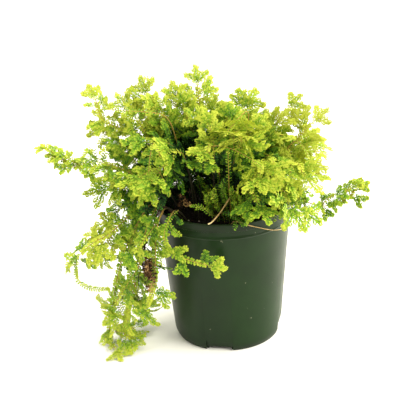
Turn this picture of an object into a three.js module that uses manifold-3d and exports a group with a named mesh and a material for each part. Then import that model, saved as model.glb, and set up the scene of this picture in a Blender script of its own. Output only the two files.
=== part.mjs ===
// Golden trailing spikemoss growing in a round nursery pot.
// Millimetres, +Z up. The origin is the middle of the pot's base, on the surface that it stands on.
import * as THREE from 'three';
import { mergeVertices } from 'three/addons/utils/BufferGeometryUtils.js';
import Module from 'manifold-3d';

const wasm = await Module();
wasm.setup();

// ---------------------------------------------------------------- driving dimensions

const CLEARANCE = 0.3;

const POT = {
  height: 121,
  lipRadius: 57,
  lipHeight: 6.5,
  lipInnerRadius: 54.6,
  grooveRadius: 56,
  ridgeRadius: 57.2,
  ridgeTop: 110,
  ridgeBottom: 107.6,
  bodyTopRadius: 56.3,
  bodyFootRadius: 47.6,
  footHeight: 4,
  baseRadius: 46,
  wall: 1.5,
  floor: 2.2,
  bevel: 0.8,
  segments: 32,
};

// Four drains round the foot: the wall slants in and ends in a slot on the surface.
const DRAIN = {
  count: 4,
  firstAzimuth: 260,
  width: 23,
  slant: 22,
  depthAtBase: 3.4,
  slotWidth: 20,
  slotHeight: 2.6,
  slotReach: 9,
  cutter: 20,
};

const SOIL = {
  top: 112,
  crown: 1.5,
  bottomRadius: 39.5,
  shoulder: 14,
  shoulderInset: 2,
  segments: 20,
  holeMargin: 0.7,
};

// A leafy stem is three-sided and tapers to its tip. It stands upright where it leaves the soil.
const STEM = { baseRadius: 1.2, tipRadius: 0.85, step: 17, buried: 9, upright: 5, apart: 4.4 };

// A spray is a thin blade: a bare stalk, then lobes whose pointed leaves are cut to the rib.
// Places along a lobe are shares of its length.
const SPRAY = {
  thickness: 0.6,
  rib: 0.65,
  root: 0.2,
  stalk: 4.5,
  lobe: 19,
  halfWidth: 6.3,
  lobeTurn: 52,
  tipLobes: 3,
  sideLobes: 2,
  tipLeaves: 3,
  sideLeaves: 2,
  firstNotch: 0.08,
  lastNotch: 0.9,
  leafSlant: 1.08,
  lastLeaf: 0.8,
  innerTip: 0.66,
  innerReach: 0.24,
  end: 1.05,
};

// How a stem bears its sprays. A pair gives the least and the most of what is drawn for each spray.
const GROWTH = {
  tipInset: 0.8,
  firstSpray: 5,
  spacing: 17,
  shift: 4,
  turn: [56, 72],
  roll: [-15, 15],
  droop: [2, 7],
  cup: 3,
  size: [0.9, 1.15],
  rootFree: 2.2,
  tipFree: 1.4,
};

// Other ways to hold a spray that would cross something: rolled round its stem, or smaller.
const POSES = [[0, 1], [24, 1], [-24, 1], [48, 1], [-48, 1], [12, 0.8], [-12, 0.8], [36, 0.8], [-36, 0.8]];

// Below this height a spray flattens out, until it lies on the surface that the pot stands on.
const LYING = { height: 4, rise: 21 };

// The bush is a dome over the pot, whose outer stems are spread evenly over it. Gaps are left bare.
const CANOPY = {
  x: -8,
  y: 4,
  z: 120,
  rx: 84,
  ry: 64,
  rz: 78,
  fullness: 0.72,
  stems: 23,
  lowest: 96,
  firstAzimuth: 20,
  goldenAngle: 137.508,
  tries: 12,
  sprays: 3,
  size: 1.1,
  rootNear: 6,
  rootSpread: 36,
  gaps: [{ from: 232, to: 285, below: 60 }, { from: 300, to: 410, below: 84 }],
};

const COLOURS = {
  pot: 0x33482c,
  soil: 0x1d1712,
  leaf: 0xb3c73a,
  withered: 0x4a2c1c,
  root: 0xc9a860,
};

// ---------------------------------------------------------------- small tools

const radians = THREE.MathUtils.degToRad;
const { lerp } = THREE.MathUtils;
const vec = (x, y, z) => new THREE.Vector3(x, y, z);

/** Repeatable random numbers from 0 to 1 (mulberry32). */
function seeded(seed) {
  let state = seed >>> 0;
  return () => {
    state = (state + 0x6d2b79f5) >>> 0;
    let mixed = state;
    mixed = Math.imul(mixed ^ (mixed >>> 15), mixed | 1);
    mixed ^= mixed + Math.imul(mixed ^ (mixed >>> 7), mixed | 61);
    return ((mixed ^ (mixed >>> 14)) >>> 0) / 4294967296;
  };
}

/** Closed solid from a geometry whose faces share their corners once merged. */
function solidOf(geometry) {
  const bare = new THREE.BufferGeometry();
  bare.setAttribute('position', geometry.getAttribute('position').clone());
  bare.setIndex(geometry.getIndex());
  const merged = mergeVertices(bare, 1e-4);
  const index = merged.getIndex().array;
  const kept = [];
  for (let i = 0; i < index.length; i += 3) {
    const [a, b, c] = [index[i], index[i + 1], index[i + 2]];
    if (a !== b && b !== c && c !== a) kept.push(a, b, c);
  }
  return new wasm.Manifold(new wasm.Mesh({
    numProp: 3,
    vertProperties: new Float32Array(merged.getAttribute('position').array),
    triVerts: new Uint32Array(kept),
  }));
}

function geometryOf(solid) {
  const mesh = solid.getMesh();
  const geometry = new THREE.BufferGeometry();
  geometry.setAttribute('position', new THREE.BufferAttribute(mesh.vertProperties, 3));
  geometry.setIndex(new THREE.BufferAttribute(mesh.triVerts, 1));
  geometry.computeVertexNormals();
  return geometry;
}

function meshOf(name, solid, colour, roughness) {
  const material = new THREE.MeshStandardMaterial({ color: colour, roughness, metalness: 0 });
  material.flatShading = true;
  const mesh = new THREE.Mesh(geometryOf(solid), material);
  mesh.name = name;
  return mesh;
}

/** Solid of revolution about +Z from [radius, height] pairs. */
function turned(profile, segments) {
  const points = profile.map(([radius, height]) => new THREE.Vector2(radius, height));
  return solidOf(new THREE.LatheGeometry(points, segments).rotateX(Math.PI / 2));
}

/** Box centred at a radius, height and azimuth round the pot's axis, leaning outwards by tilt. */
function boxAround(radial, tangential, upward, { radius, height, azimuth, tilt = 0 }) {
  const box = new THREE.BoxGeometry(radial, tangential, upward);
  box.rotateY(radians(tilt));
  box.translate(radius, 0, height);
  box.rotateZ(radians(azimuth));
  return solidOf(box);
}

// ---------------------------------------------------------------- pot and soil

/** Inner radius of the tapered wall at a height. */
function innerRadius(z) {
  const { footHeight, ridgeBottom, bodyFootRadius, bodyTopRadius, wall } = POT;
  return THREE.MathUtils.mapLinear(z, footHeight, ridgeBottom, bodyFootRadius, bodyTopRadius) - wall;
}

/** Azimuths of the drains round the foot. */
const drainAzimuths = Array.from({ length: DRAIN.count }, (_, drain) => (
  DRAIN.firstAzimuth + (drain * 360) / DRAIN.count
));

/** Block that recesses the wall at a drain. Moved inwards by the wall, it backs that recess. */
function drainBox(azimuth, inwards) {
  const slant = radians(DRAIN.slant);
  const faceRadius = POT.baseRadius - DRAIN.depthAtBase - inwards / Math.cos(slant);
  const radius = faceRadius + (DRAIN.cutter / 2) * Math.cos(slant);
  const height = -(DRAIN.cutter / 2) * Math.sin(slant);
  const width = DRAIN.width + 2 * inwards;
  return boxAround(DRAIN.cutter, width, 2.4 * DRAIN.cutter, { radius, height, azimuth, tilt: DRAIN.slant });
}

function makePot() {
  const rimInner = POT.lipInnerRadius;
  const lipBottom = POT.height - POT.lipHeight;
  let body = turned([
    [0, 0],
    [POT.baseRadius, 0],
    [POT.bodyFootRadius, POT.footHeight],
    [POT.bodyTopRadius, POT.ridgeBottom],
    [POT.ridgeRadius, (POT.ridgeBottom + POT.ridgeTop) / 2],
    [POT.grooveRadius, POT.ridgeTop],
    [POT.grooveRadius, lipBottom],
    [POT.lipRadius, lipBottom],
    [POT.lipRadius, POT.height - POT.bevel],
    [POT.lipRadius - POT.bevel, POT.height],
    [rimInner + POT.bevel / 2, POT.height],
    [rimInner, POT.height - POT.bevel],
    [0, POT.height - POT.bevel],
  ], POT.segments);
  let cavity = turned([
    [0, POT.floor],
    [innerRadius(POT.floor), POT.floor],
    [innerRadius(POT.ridgeBottom), POT.ridgeBottom],
    [rimInner, lipBottom],
    [rimInner, POT.height + 1],
    [0, POT.height + 1],
  ], POT.segments);
  drainAzimuths.forEach((azimuth) => {
    body = body.subtract(drainBox(azimuth, 0));
    cavity = cavity.subtract(drainBox(azimuth, POT.wall));
  });
  body = body.subtract(cavity);
  drainAzimuths.forEach((azimuth) => {
    const foot = { radius: POT.baseRadius, height: 0, azimuth };
    body = body.subtract(boxAround(2 * DRAIN.slotReach, DRAIN.slotWidth, 2 * DRAIN.slotHeight, foot));
  });
  return body;
}

/** Height of the soil's low mound at a distance from the pot's axis. */
function soilHeight(distance) {
  const edge = innerRadius(SOIL.top) - CLEARANCE;
  return SOIL.top + SOIL.crown * (1 - (distance / edge) ** 2);
}

/** Soil that fills the pot, with a plain square hole for each stem. */
function makeSoil(rootedStems) {
  const edge = POT.lipInnerRadius - CLEARANCE;
  const halfway = 0.6 * edge;
  let soil = turned([
    [0, POT.floor + CLEARANCE],
    [SOIL.bottomRadius, POT.floor + CLEARANCE],
    [innerRadius(SOIL.shoulder) - SOIL.shoulderInset, SOIL.shoulder],
    [innerRadius(POT.ridgeBottom) - 2 * CLEARANCE, POT.ridgeBottom],
    [edge, SOIL.top],
    [halfway, soilHeight(halfway)],
    [0, soilHeight(0)],
  ], SOIL.segments);
  const depth = SOIL.crown + STEM.buried + CLEARANCE;
  rootedStems.forEach((stem) => {
    const width = 2 * (stem.radii[0] + SOIL.holeMargin);
    const hole = new THREE.BoxGeometry(width, width, 2 * depth);
    const { place } = onStem(stem, depth / 2 / stem.length);
    hole.translate(place.x, place.y, SOIL.top + SOIL.crown);
    soil = soil.subtract(solidOf(hole));
  });
  return soil;
}

// ---------------------------------------------------------------- leafy stems

/**
 * Outline of a flat spray. Lobes fan out from the end of a bare stalk along +X. Each lobe has
 * pointed leaves on both sides, cut to its rib, and neighbouring lobes share the notch between them.
 */
function sprayOutline({ lobes, leaves, size }, from) {
  const turn = radians(SPRAY.lobeTurn);
  const length = SPRAY.lobe * size;
  const hub = SPRAY.stalk * size;
  const pitch = (SPRAY.lastNotch - SPRAY.firstNotch) / leaves;
  const points = [new THREE.Vector2(from, -SPRAY.root)];
  for (let lobe = 0; lobe < lobes; lobe += 1) {
    const angle = (lobe - (lobes - 1) / 2) * turn;
    const place = (along, across) => new THREE.Vector2(
      hub + along * length * Math.cos(angle) - across * Math.sin(angle),
      along * length * Math.sin(angle) + across * Math.cos(angle),
    );
    const outerEdge = (side) => Array.from({ length: leaves }, (_, leaf) => {
      const notch = SPRAY.firstNotch + pitch * leaf;
      const reach = SPRAY.halfWidth * size * (leaf + 1 < leaves ? 1 : SPRAY.lastLeaf);
      return [place(notch, side * SPRAY.rib), place(notch + SPRAY.leafSlant * pitch, side * reach)];
    }).flat();
    const innerEdge = (side) => [place(SPRAY.innerTip, side * SPRAY.innerReach * length)];
    points.push(...(lobe > 0 ? innerEdge(-1) : outerEdge(-1)));
    points.push(place(SPRAY.end, 0));
    points.push(...(lobe < lobes - 1 ? innerEdge(1) : outerEdge(1).reverse()));
    if (lobe < lobes - 1) {
      const between = angle + turn / 2;
      const depth = SPRAY.rib / Math.sin(turn / 2);
      points.push(new THREE.Vector2(hub + depth * Math.cos(between), depth * Math.sin(between)));
    }
  }
  points.push(new THREE.Vector2(from, SPRAY.root));
  return points;
}

/** Arched blade of a spray: both faces are split into the same triangles and sag alike. */
function sprayBlade(spray, thickness, from = 0) {
  const shape = new THREE.Shape(sprayOutline(spray, from));
  const blade = new THREE.ExtrudeGeometry(shape, { depth: thickness, bevelEnabled: false });
  blade.translate(0, 0, -thickness / 2);
  const reach = (SPRAY.stalk + SPRAY.lobe) * spray.size;
  const position = blade.getAttribute('position');
  for (let i = 0; i < position.count; i += 1) {
    const x = position.getX(i) / reach;
    const y = position.getY(i) / reach;
    position.setZ(i, position.getZ(i) - spray.droop * x * x - spray.cup * y * y);
  }
  return blade;
}

/** Place and facing of a spray on its stem. */
function sprayMatrix(stem, { along, side, turn, roll }) {
  const { place, ahead } = onStem(stem, along);
  const face = stem.facing(place);
  face.addScaledVector(ahead, -face.dot(ahead)).normalize();
  face.applyAxisAngle(ahead, radians(roll));
  const across = face.clone().cross(ahead);
  const axis = ahead.clone().multiplyScalar(Math.cos(radians(turn)));
  axis.addScaledVector(across, side * Math.sin(radians(turn)));
  return new THREE.Matrix4().makeBasis(axis, face.clone().cross(axis), face).setPosition(place);
}

/** Place on a stem's straight pieces at a share of its length, and the direction of growth there. */
function onStem({ nodes }, along) {
  const steps = nodes.length - 1;
  const piece = Math.min(steps - 1, Math.floor(along * steps));
  const place = nodes[piece].clone().lerp(nodes[piece + 1], along * steps - piece);
  return { place, ahead: nodes[piece + 1].clone().sub(nodes[piece]).normalize() };
}

/** Tapered three-sided tube along a route, whose straight pieces join at its nodes. */
function tubeAlong({ route, nodes, radii }, extra = 0) {
  const [baseRadius, tipRadius] = radii;
  const steps = nodes.length - 1;
  const section = new THREE.Shape();
  for (let corner = 0; corner < 3; corner += 1) {
    const angle = (corner * 2 * Math.PI) / 3;
    const point = [baseRadius * Math.cos(angle), baseRadius * Math.sin(angle)];
    if (corner === 0) section.moveTo(...point);
    else section.lineTo(...point);
  }
  const tube = new THREE.ExtrudeGeometry(section, { steps, extrudePath: route });
  const position = tube.getAttribute('position');
  const point = vec(0, 0, 0);
  for (let i = 0; i < position.count; i += 1) {
    point.fromBufferAttribute(position, i);
    const distances = nodes.map((node) => node.distanceToSquared(point));
    const nearest = distances.indexOf(Math.min(...distances));
    const radius = lerp(baseRadius, tipRadius, nearest / steps) + extra;
    point.sub(nodes[nearest]).setLength(radius).add(nodes[nearest]);
    position.setXYZ(i, point.x, point.y, point.z);
  }
  return tube;
}

const boxesMeet = (a, b) => [0, 1, 2].every((axis) => (
  a.min[axis] <= b.max[axis] && b.min[axis] <= a.max[axis]
));

/** Tells whether a geometry keeps clear of the surface that the pot stands on and of some solids. */
function isClear(geometry, others) {
  const solid = solidOf(geometry);
  const box = solid.boundingBox();
  if (box.min[2] < CLEARANCE) return false;
  return others.every((other) => {
    const otherBox = other.boundingBox();
    return !boxesMeet(box, otherBox) || solid.intersect(other).isEmpty();
  });
}

/** How far a place is from lying on the surface: 0 on it, 1 well above it. */
const aloft = (place) => THREE.MathUtils.clamp((place.z - LYING.height) / LYING.rise, 0, 1);

/** Sprays of one stem, from the fan at its tip down. Their draws don't depend on what is near. */
function drawSprays(stem) {
  const random = seeded(stem.seed);
  return Array.from({ length: stem.sprays + 1 }, (_, index) => {
    const [shift, turn, roll, droop, size] = Array.from({ length: 5 }, random);
    const atTip = index === 0;
    const pitch = GROWTH.spacing * stem.size;
    const back = atTip ? GROWTH.tipInset : GROWTH.firstSpray + pitch * (index - 1) + GROWTH.shift * shift;
    const along = 1 - back / stem.length;
    const sag = aloft(onStem(stem, along).place);
    return {
      along,
      side: (index + stem.seed) % 2 === 0 ? 1 : -1,
      turn: atTip ? 0 : lerp(...GROWTH.turn, turn),
      roll: lerp(...GROWTH.roll, roll) * sag,
      droop: lerp(...GROWTH.droop, droop) * sag,
      cup: GROWTH.cup * sag,
      size: stem.size * lerp(...GROWTH.size, size),
      lobes: atTip ? SPRAY.tipLobes : SPRAY.sideLobes,
      leaves: atTip ? SPRAY.tipLeaves : SPRAY.sideLeaves,
      free: atTip ? GROWTH.tipFree : GROWTH.rootFree,
    };
  });
}

/** Adds one spray to its stem, held in the first pose that crosses nothing, or leaves it out. */
function addSpray(stem, spray, others) {
  for (const [roll, shrink] of POSES) {
    const held = { ...spray, roll: spray.roll + roll, size: spray.size * shrink };
    const matrix = sprayMatrix(stem, held);
    const wide = sprayBlade(held, SPRAY.thickness + 2 * CLEARANCE, held.free).applyMatrix4(matrix);
    if (isClear(wide, [...others, stem.solid])) {
      stem.solid = stem.solid.add(solidOf(sprayBlade(held, SPRAY.thickness).applyMatrix4(matrix)));
      return;
    }
  }
}

/** Points of a stem that stands upright in the soil and then follows its own way. */
function rooted(x, y, way) {
  return [
    vec(x, y, SOIL.top - STEM.buried),
    vec(x, y, SOIL.top - 1),
    vec(x, y, SOIL.top + STEM.upright),
    ...way.map((point) => vec(...point)),
  ];
}

// The way that the flat of a stem's sprays faces at a place.
const faceFront = () => vec(0, -0.6, 1).normalize();
const faceTrailing = (place) => vec(-0.5, -1, 0.5 + 3 * (1 - aloft(place))).normalize();
const faceOutwards = (place) => vec(
  (place.x - CANOPY.x) / CANOPY.rx,
  (place.y - CANOPY.y) / CANOPY.ry,
  (place.z - CANOPY.z) / CANOPY.rz + 0.2,
).normalize();

// Each stem: name, seed, root in the soil, side sprays, their size, and the way to its tip.
// These give the bush its outline.
const SHAPED_STEMS = [
  ['left_arm', 11, -34, -6, 3, 0.7, [
    [-48, -9, 140], [-84, -13, 157], [-107, -14, 160], [-122, -15, 161], [-131, -16, 168],
  ]],
  ['top_left', 12, -30, 6, 2, 0.75, [[-44, 4, 150], [-74, 1, 182], [-96, 0, 195], [-101, 0, 212]]],
  ['top_spray', 13, -22, 14, 3, 0.8, [[-34, 12, 155], [-52, 10, 186], [-60, 9, 212]]],
  ['top_crest', 14, -10, 14, 3, 0.8, [[-14, 13, 150], [-16, 15, 183], [-18, 20, 216]]],
  ['top_middle', 15, 4, 12, 2, 0.9, [[4, 11, 150], [10, 12, 178], [15, 16, 194]]],
  ['top_right', 16, 16, 10, 3, 0.8, [[28, 10, 150], [42, 10, 178], [56, 9, 196]]],
  ['right_upper', 17, 28, -3, 3, 0.85, [[42, -5, 145], [60, -8, 172], [74, -10, 188]]],
  ['right_hanging', 19, 33, 13, 2, 0.85, [[48, 17, 145], [64, 19, 166], [76, 19, 162]]],
  ['right_arm', 20, 36, -14, 3, 0.75, [
    [49, -14, 128], [64, -15, 124], [82, -16, 118], [98, -18, 122], [109, -19, 132],
  ]],
  ['right_rim', 21, 38, -24, 1, 0.9, [[48, -25, 129], [57, -27, 128], [62, -28, 122]]],
  ['left_middle', 23, -39, -11, 2, 0.9, [[-58, -13, 140], [-84, -15, 158], [-98, -18, 164]]],
  ['left_curled', 22, -38, 2, 2, 0.85, [[-56, 2, 146], [-82, 6, 172], [-96, 8, 182]]],
  ['left_low', 24, -45, -2, 3, 1, [[-60, -4, 134], [-78, -7, 142], [-92, -10, 140]]],
  ['left_wide', 31, -35, -20, 3, 1, [[-44, -30, 142], [-52, -40, 164], [-62, -48, 162]]],
  ['front_left', 25, -24, -22, 3, 1, [[-26, -30, 150], [-30, -38, 174], [-38, -46, 180]]],
  ['front_middle', 26, -8, -24, 2, 1, [[-7, -30, 150], [-6, -36, 174], [-9, -44, 184], [-11, -50, 180]]],
  ['front_edge', 28, 26, -24, 2, 1, [[34, -32, 136], [42, -42, 147], [48, -48, 144], [51, -52, 136]]],
  ['front_high', 32, 4, -18, 3, 1, [[6, -22, 148], [12, -30, 170], [16, -38, 186], [14, -47, 190]]],
  ['front_right', 33, 18, -19, 3, 1, [[22, -26, 142], [27, -36, 160], [30, -46, 167], [29, -53, 161]]],
  ['front_low', 34, 14, -32, 2, 0.95, [[16, -38, 128], [19, -44, 141], [24, -52, 145], [26, -57, 139]]],
  ['right_front', 35, 30, -13, 3, 1, [[42, -20, 140], [54, -28, 158], [60, -35, 163], [63, -42, 157]]],
  ['rim_front', 29, 28, -36, 1, 0.9, [[30, -39, 126], [30, -44, 132]]],
];

// These leave over the left of the rim and hang down, and two end lying on the surface below.
const TRAILING_STEMS = [
  ['trailing_long', 41, -43, -17, 5, 0.95, [
    [-56, -22, 130], [-70, -30, 117], [-84, -30, 90], [-95, -24, 56], [-102, -18, 24], [-106, -18, 7],
    [-104, -28, 3.2], [-98, -42, 3.2],
  ]],
  ['trailing_left', 42, -45, -9, 3, 0.95, [
    [-59, -13, 130], [-76, -20, 120], [-93, -31, 108], [-109, -37, 101], [-120, -38, 92],
  ]],
  ['trailing_back', 43, -46, 5, 5, 1, [
    [-60, 6, 130], [-75, 6, 112], [-83, 4, 78], [-87, 5, 42], [-91, 8, 10], [-91, 0, 3.4], [-84, -10, 3.4],
  ]],
  ['trailing_right', 44, -34, -31, 4, 0.95, [
    [-47, -38, 130], [-55, -47, 113], [-57, -51, 88], [-60, -53, 66], [-66, -52, 49],
  ]],
  ['trailing_inner', 46, -40, -24, 4, 0.95, [
    [-52, -31, 130], [-63, -40, 114], [-70, -42, 88], [-78, -38, 58], [-86, -34, 34], [-90, -34, 24],
  ]],
  ['over_front', 45, -30, -36, 3, 0.8, [
    [-39, -46, 131], [-48, -55, 114], [-44, -58, 100], [-30, -61, 94], [-14, -64, 90],
  ]],
];

// These bear no leaves: a dead stem among the trailing ones, a stem that was cut where it comes
// over the rim, and a thin root that grew over the rim and lies along the lip.
const BARE_STEMS = [
  ['withered_stem', 51, -39.5, -29, 0, 1, [
    [-49.5, -34.5, 130], [-59, -43.5, 114], [-66, -46, 98], [-68, -47, 86], [-67, -48, 78],
  ]],
  ['cut_stem', 52, 12, -14, 0, 1, [
    [11, -21, 133], [9, -29, 139], [5, -37, 136], [-2, -45, 128.5], [-9, -54, 123.6], [-12.5, -59, 123.4],
  ]],
  ['rhizophore', 53, 6, -44, 0, 1, [
    [8, -50, 121], [12, -56, 122.8], [18, -57.2, 120.6], [25.4, -53.6, 117], [36.8, -46.2, 111],
    [43.8, -39.7, 108], [50.2, -31.2, 105.4],
  ]],
];

const LEAFY = { colour: COLOURS.leaf, radii: [STEM.baseRadius, STEM.tipRadius], step: STEM.step };
const BARE = {
  withered_stem: { colour: COLOURS.withered, radii: [1, 0.7], step: 12 },
  cut_stem: { colour: COLOURS.root, radii: [1, 1.1], step: 9 },
  rhizophore: { colour: COLOURS.root, radii: [0.6, 0.45], step: 9 },
};

// Dead rootlets on the withered stem: share of its length, then two points on, from there.
const ROOTLETS = [
  [0.8, [-5, 1, -7], [-8, 2, -17]],
  [0.87, [5, -1, -6], [5, 1, -18]],
  [0.95, [-4, -1, -7], [-5, 0, -18]],
  [0.99, [1, 1, -9], [-1, 2, -20]],
];

// ---------------------------------------------------------------- the plant

const pot = makePot();
const soilUnderStems = makeSoil([]).translate(0, 0, -STEM.buried - 2);
const stems = [];

/** Curve through points, the nodes that split it into equal steps, and its length. */
function routeThrough(points, step) {
  const route = new THREE.CatmullRomCurve3(points, false, 'catmullrom', 0.5);
  const length = route.getLength();
  return { route, length, nodes: route.getSpacedPoints(Math.round(length / step)) };
}

/** Sets a stem's tube in the soil, and tells whether it could: it may not cross another. */
function plant([name, seed, x, y, sprays, size, way], facing, { colour, radii, step }) {
  if (stems.some((stem) => Math.hypot(stem.x - x, stem.y - y) < STEM.apart)) return false;
  const { route, length, nodes } = routeThrough(rooted(x, y, way), step);
  const others = [pot, soilUnderStems, ...stems.map((stem) => stem.solid)];
  if (!isClear(tubeAlong({ route, nodes, radii }, 2 * CLEARANCE), others)) return false;
  const solid = solidOf(tubeAlong({ route, nodes, radii }));
  stems.push({ name, seed, x, y, sprays, size, facing, length, nodes, solid, colour, radii });
  return true;
}

/** Point of the bush's dome, at angles from its top and round it, on a layer of it (1 is outermost). */
function onDome(polar, azimuth, layer) {
  const full = (value) => Math.sign(value) * Math.abs(value) ** CANOPY.fullness;
  const flat = full(Math.sin(radians(polar))) * layer;
  return [
    CANOPY.x + CANOPY.rx * flat * Math.cos(radians(azimuth)),
    CANOPY.y + CANOPY.ry * flat * Math.sin(radians(azimuth)),
    CANOPY.z + CANOPY.rz * full(Math.cos(radians(polar))) * layer,
  ];
}

/** One try at the stem that carries a place of the dome: its root and its way wander a little. */
function canopyStem(index, polar, azimuth, attempt) {
  const random = seeded(500 + index * 16 + attempt);
  const [aim, bend, depth, reach] = Array.from({ length: 4 }, random);
  const heading = azimuth + lerp(-12, 12, aim);
  const way = [
    onDome(0.6 * polar, heading + lerp(-8, 8, bend), lerp(0.42, 0.52, depth)),
    onDome(0.76 * polar, heading, lerp(0.8, 0.75, depth)),
    onDome(0.9 * polar, azimuth, lerp(0.94, 0.89, depth)),
    onDome(1.04 * polar, azimuth, lerp(1, 0.92, depth)),
  ];
  const share = polar / CANOPY.lowest;
  const distance = CANOPY.rootNear + CANOPY.rootSpread * share + lerp(-2, 2, reach);
  const x = distance * Math.cos(radians(heading));
  const y = distance * Math.sin(radians(heading));
  const name = `canopy_${String(index + 1).padStart(2, '0')}`;
  return [name, 700 + index, x, y, CANOPY.sprays, CANOPY.size, way];
}

/** Stems spread evenly over the dome, except over its gaps. */
function plantCanopy() {
  const inGap = (polar, azimuth) => CANOPY.gaps.some(({ from, to, below }) => (
    polar > below && [azimuth, azimuth + 360].some((angle) => angle > from && angle < to)
  ));
  for (let index = 0; index < CANOPY.stems; index += 1) {
    const share = (index + 0.5) / CANOPY.stems;
    const polar = THREE.MathUtils.radToDeg(Math.acos(1 - share * (1 - Math.cos(radians(CANOPY.lowest)))));
    const azimuth = (index * CANOPY.goldenAngle + CANOPY.firstAzimuth) % 360;
    for (let attempt = 0; attempt < CANOPY.tries && !inGap(polar, azimuth); attempt += 1) {
      if (plant(canopyStem(index, polar, azimuth, attempt), faceOutwards, LEAFY)) break;
    }
  }
}

/** Hangs the dead rootlets from the withered stem, in the same solid. */
function addRootlets(stem) {
  const others = stems.filter((other) => other !== stem).map((other) => other.solid);
  ROOTLETS.forEach(([along, ...offsets]) => {
    const { place } = onStem(stem, along);
    const points = [place, ...offsets.map((offset) => place.clone().add(vec(...offset)))];
    const rootlet = { ...routeThrough(points, 6), radii: [0.6, 0.45] };
    if (isClear(tubeAlong(rootlet, 2 * CLEARANCE), others)) {
      stem.solid = stem.solid.add(solidOf(tubeAlong(rootlet)));
    }
  });
}

/** Adds every stem's sprays. The tips take their room first, and then the sprays further down. */
function addSprays(leafyStems, soil) {
  const drawn = leafyStems.map(drawSprays);
  const most = Math.max(...drawn.map((sprays) => sprays.length));
  for (let index = 0; index < most; index += 1) {
    leafyStems.forEach((stem, place) => {
      const others = stems.filter((other) => other !== stem).map((other) => other.solid);
      const spray = drawn[place][index];
      if (spray) addSpray(stem, spray, [pot, soil, ...others]);
    });
  }
}

SHAPED_STEMS.forEach((stem) => plant(stem, faceFront, LEAFY));
TRAILING_STEMS.forEach((stem) => plant(stem, faceTrailing, LEAFY));
BARE_STEMS.forEach((stem) => plant(stem, faceFront, BARE[stem[0]]));
plantCanopy();
addRootlets(stems.find((stem) => stem.name === 'withered_stem'));
const soil = makeSoil(stems);
addSprays(stems.filter((stem) => stem.sprays > 0), soil);

const group = new THREE.Group();
group.add(meshOf('pot', pot, COLOURS.pot, 0.4));
group.add(meshOf('soil', soil, COLOURS.soil, 1));
stems.forEach(({ name, solid, colour }) => group.add(meshOf(name, solid, colour, 0.6)));

export default group;
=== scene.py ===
"""Golden trailing spikemoss in its nursery pot: the looks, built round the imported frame.

Lengths are in millimetres until a mesh is made, which turns them into metres.
"""
import math
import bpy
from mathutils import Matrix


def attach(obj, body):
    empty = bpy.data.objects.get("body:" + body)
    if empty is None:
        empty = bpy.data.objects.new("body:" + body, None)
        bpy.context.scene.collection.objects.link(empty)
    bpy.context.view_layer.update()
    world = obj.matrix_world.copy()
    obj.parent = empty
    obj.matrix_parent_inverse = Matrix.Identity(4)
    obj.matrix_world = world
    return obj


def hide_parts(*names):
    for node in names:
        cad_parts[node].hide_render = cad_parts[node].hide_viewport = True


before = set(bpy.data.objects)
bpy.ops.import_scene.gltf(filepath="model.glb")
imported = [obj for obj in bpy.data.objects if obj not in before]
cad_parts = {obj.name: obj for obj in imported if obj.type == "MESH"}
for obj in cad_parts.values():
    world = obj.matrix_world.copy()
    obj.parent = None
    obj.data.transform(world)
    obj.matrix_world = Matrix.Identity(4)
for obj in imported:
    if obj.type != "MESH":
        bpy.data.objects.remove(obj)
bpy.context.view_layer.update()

from types import SimpleNamespace as Values

import bmesh
import bpy
import numpy as np
from mathutils import Matrix, Vector, noise
from mathutils.kdtree import KDTree

MM = 0.001

# ---------------- how the plant grew, as in the frame

SOIL_TOP, POT_TOP, POT_LIP = 112.0, 121.0, 57.0
STEM = Values(base=1.2, step=17, buried=9, upright=5)
SPRAY = Values(thickness=0.6, stalk=4.5, lobe=19, turn=52, end=1.05)
GROWTH = Values(
    inset=0.8, first=5, spacing=17, shift=4, turn=(56, 72), roll=(-15, 15),
    droop=(2, 7), cup=3, size=(0.9, 1.15))
POSES = [(0, 1), (24, 1), (-24, 1), (48, 1), (-48, 1), (12, 0.8), (-12, 0.8), (36, 0.8), (-36, 0.8)]
LYING = Values(height=4, rise=21)
CANOPY = Values(
    centre=np.array([-8.0, 4.0, 120.0]), radii=np.array([84.0, 64.0, 78.0]), fullness=0.72,
    stems=23, lowest=96, azimuth=20, golden=137.508, tries=12, sprays=3, size=1.1,
    near=6, spread=36, aim=12, bend=8, reach=2, draws=500, stride=16, seed=700)
# The way of a canopy stem: shares of its polar angle, each with two limits of how far out it lies.
CANOPY_WAY = [(0.6, 0.42, 0.52), (0.76, 0.8, 0.75), (0.9, 0.94, 0.89), (1.04, 1, 0.92)]
# How exactly a corner of the frame has to be at the end of a lobe, and at its distance from a stem's foot.
FOUND = Values(lobe=0.1, foot=0.02)

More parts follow.
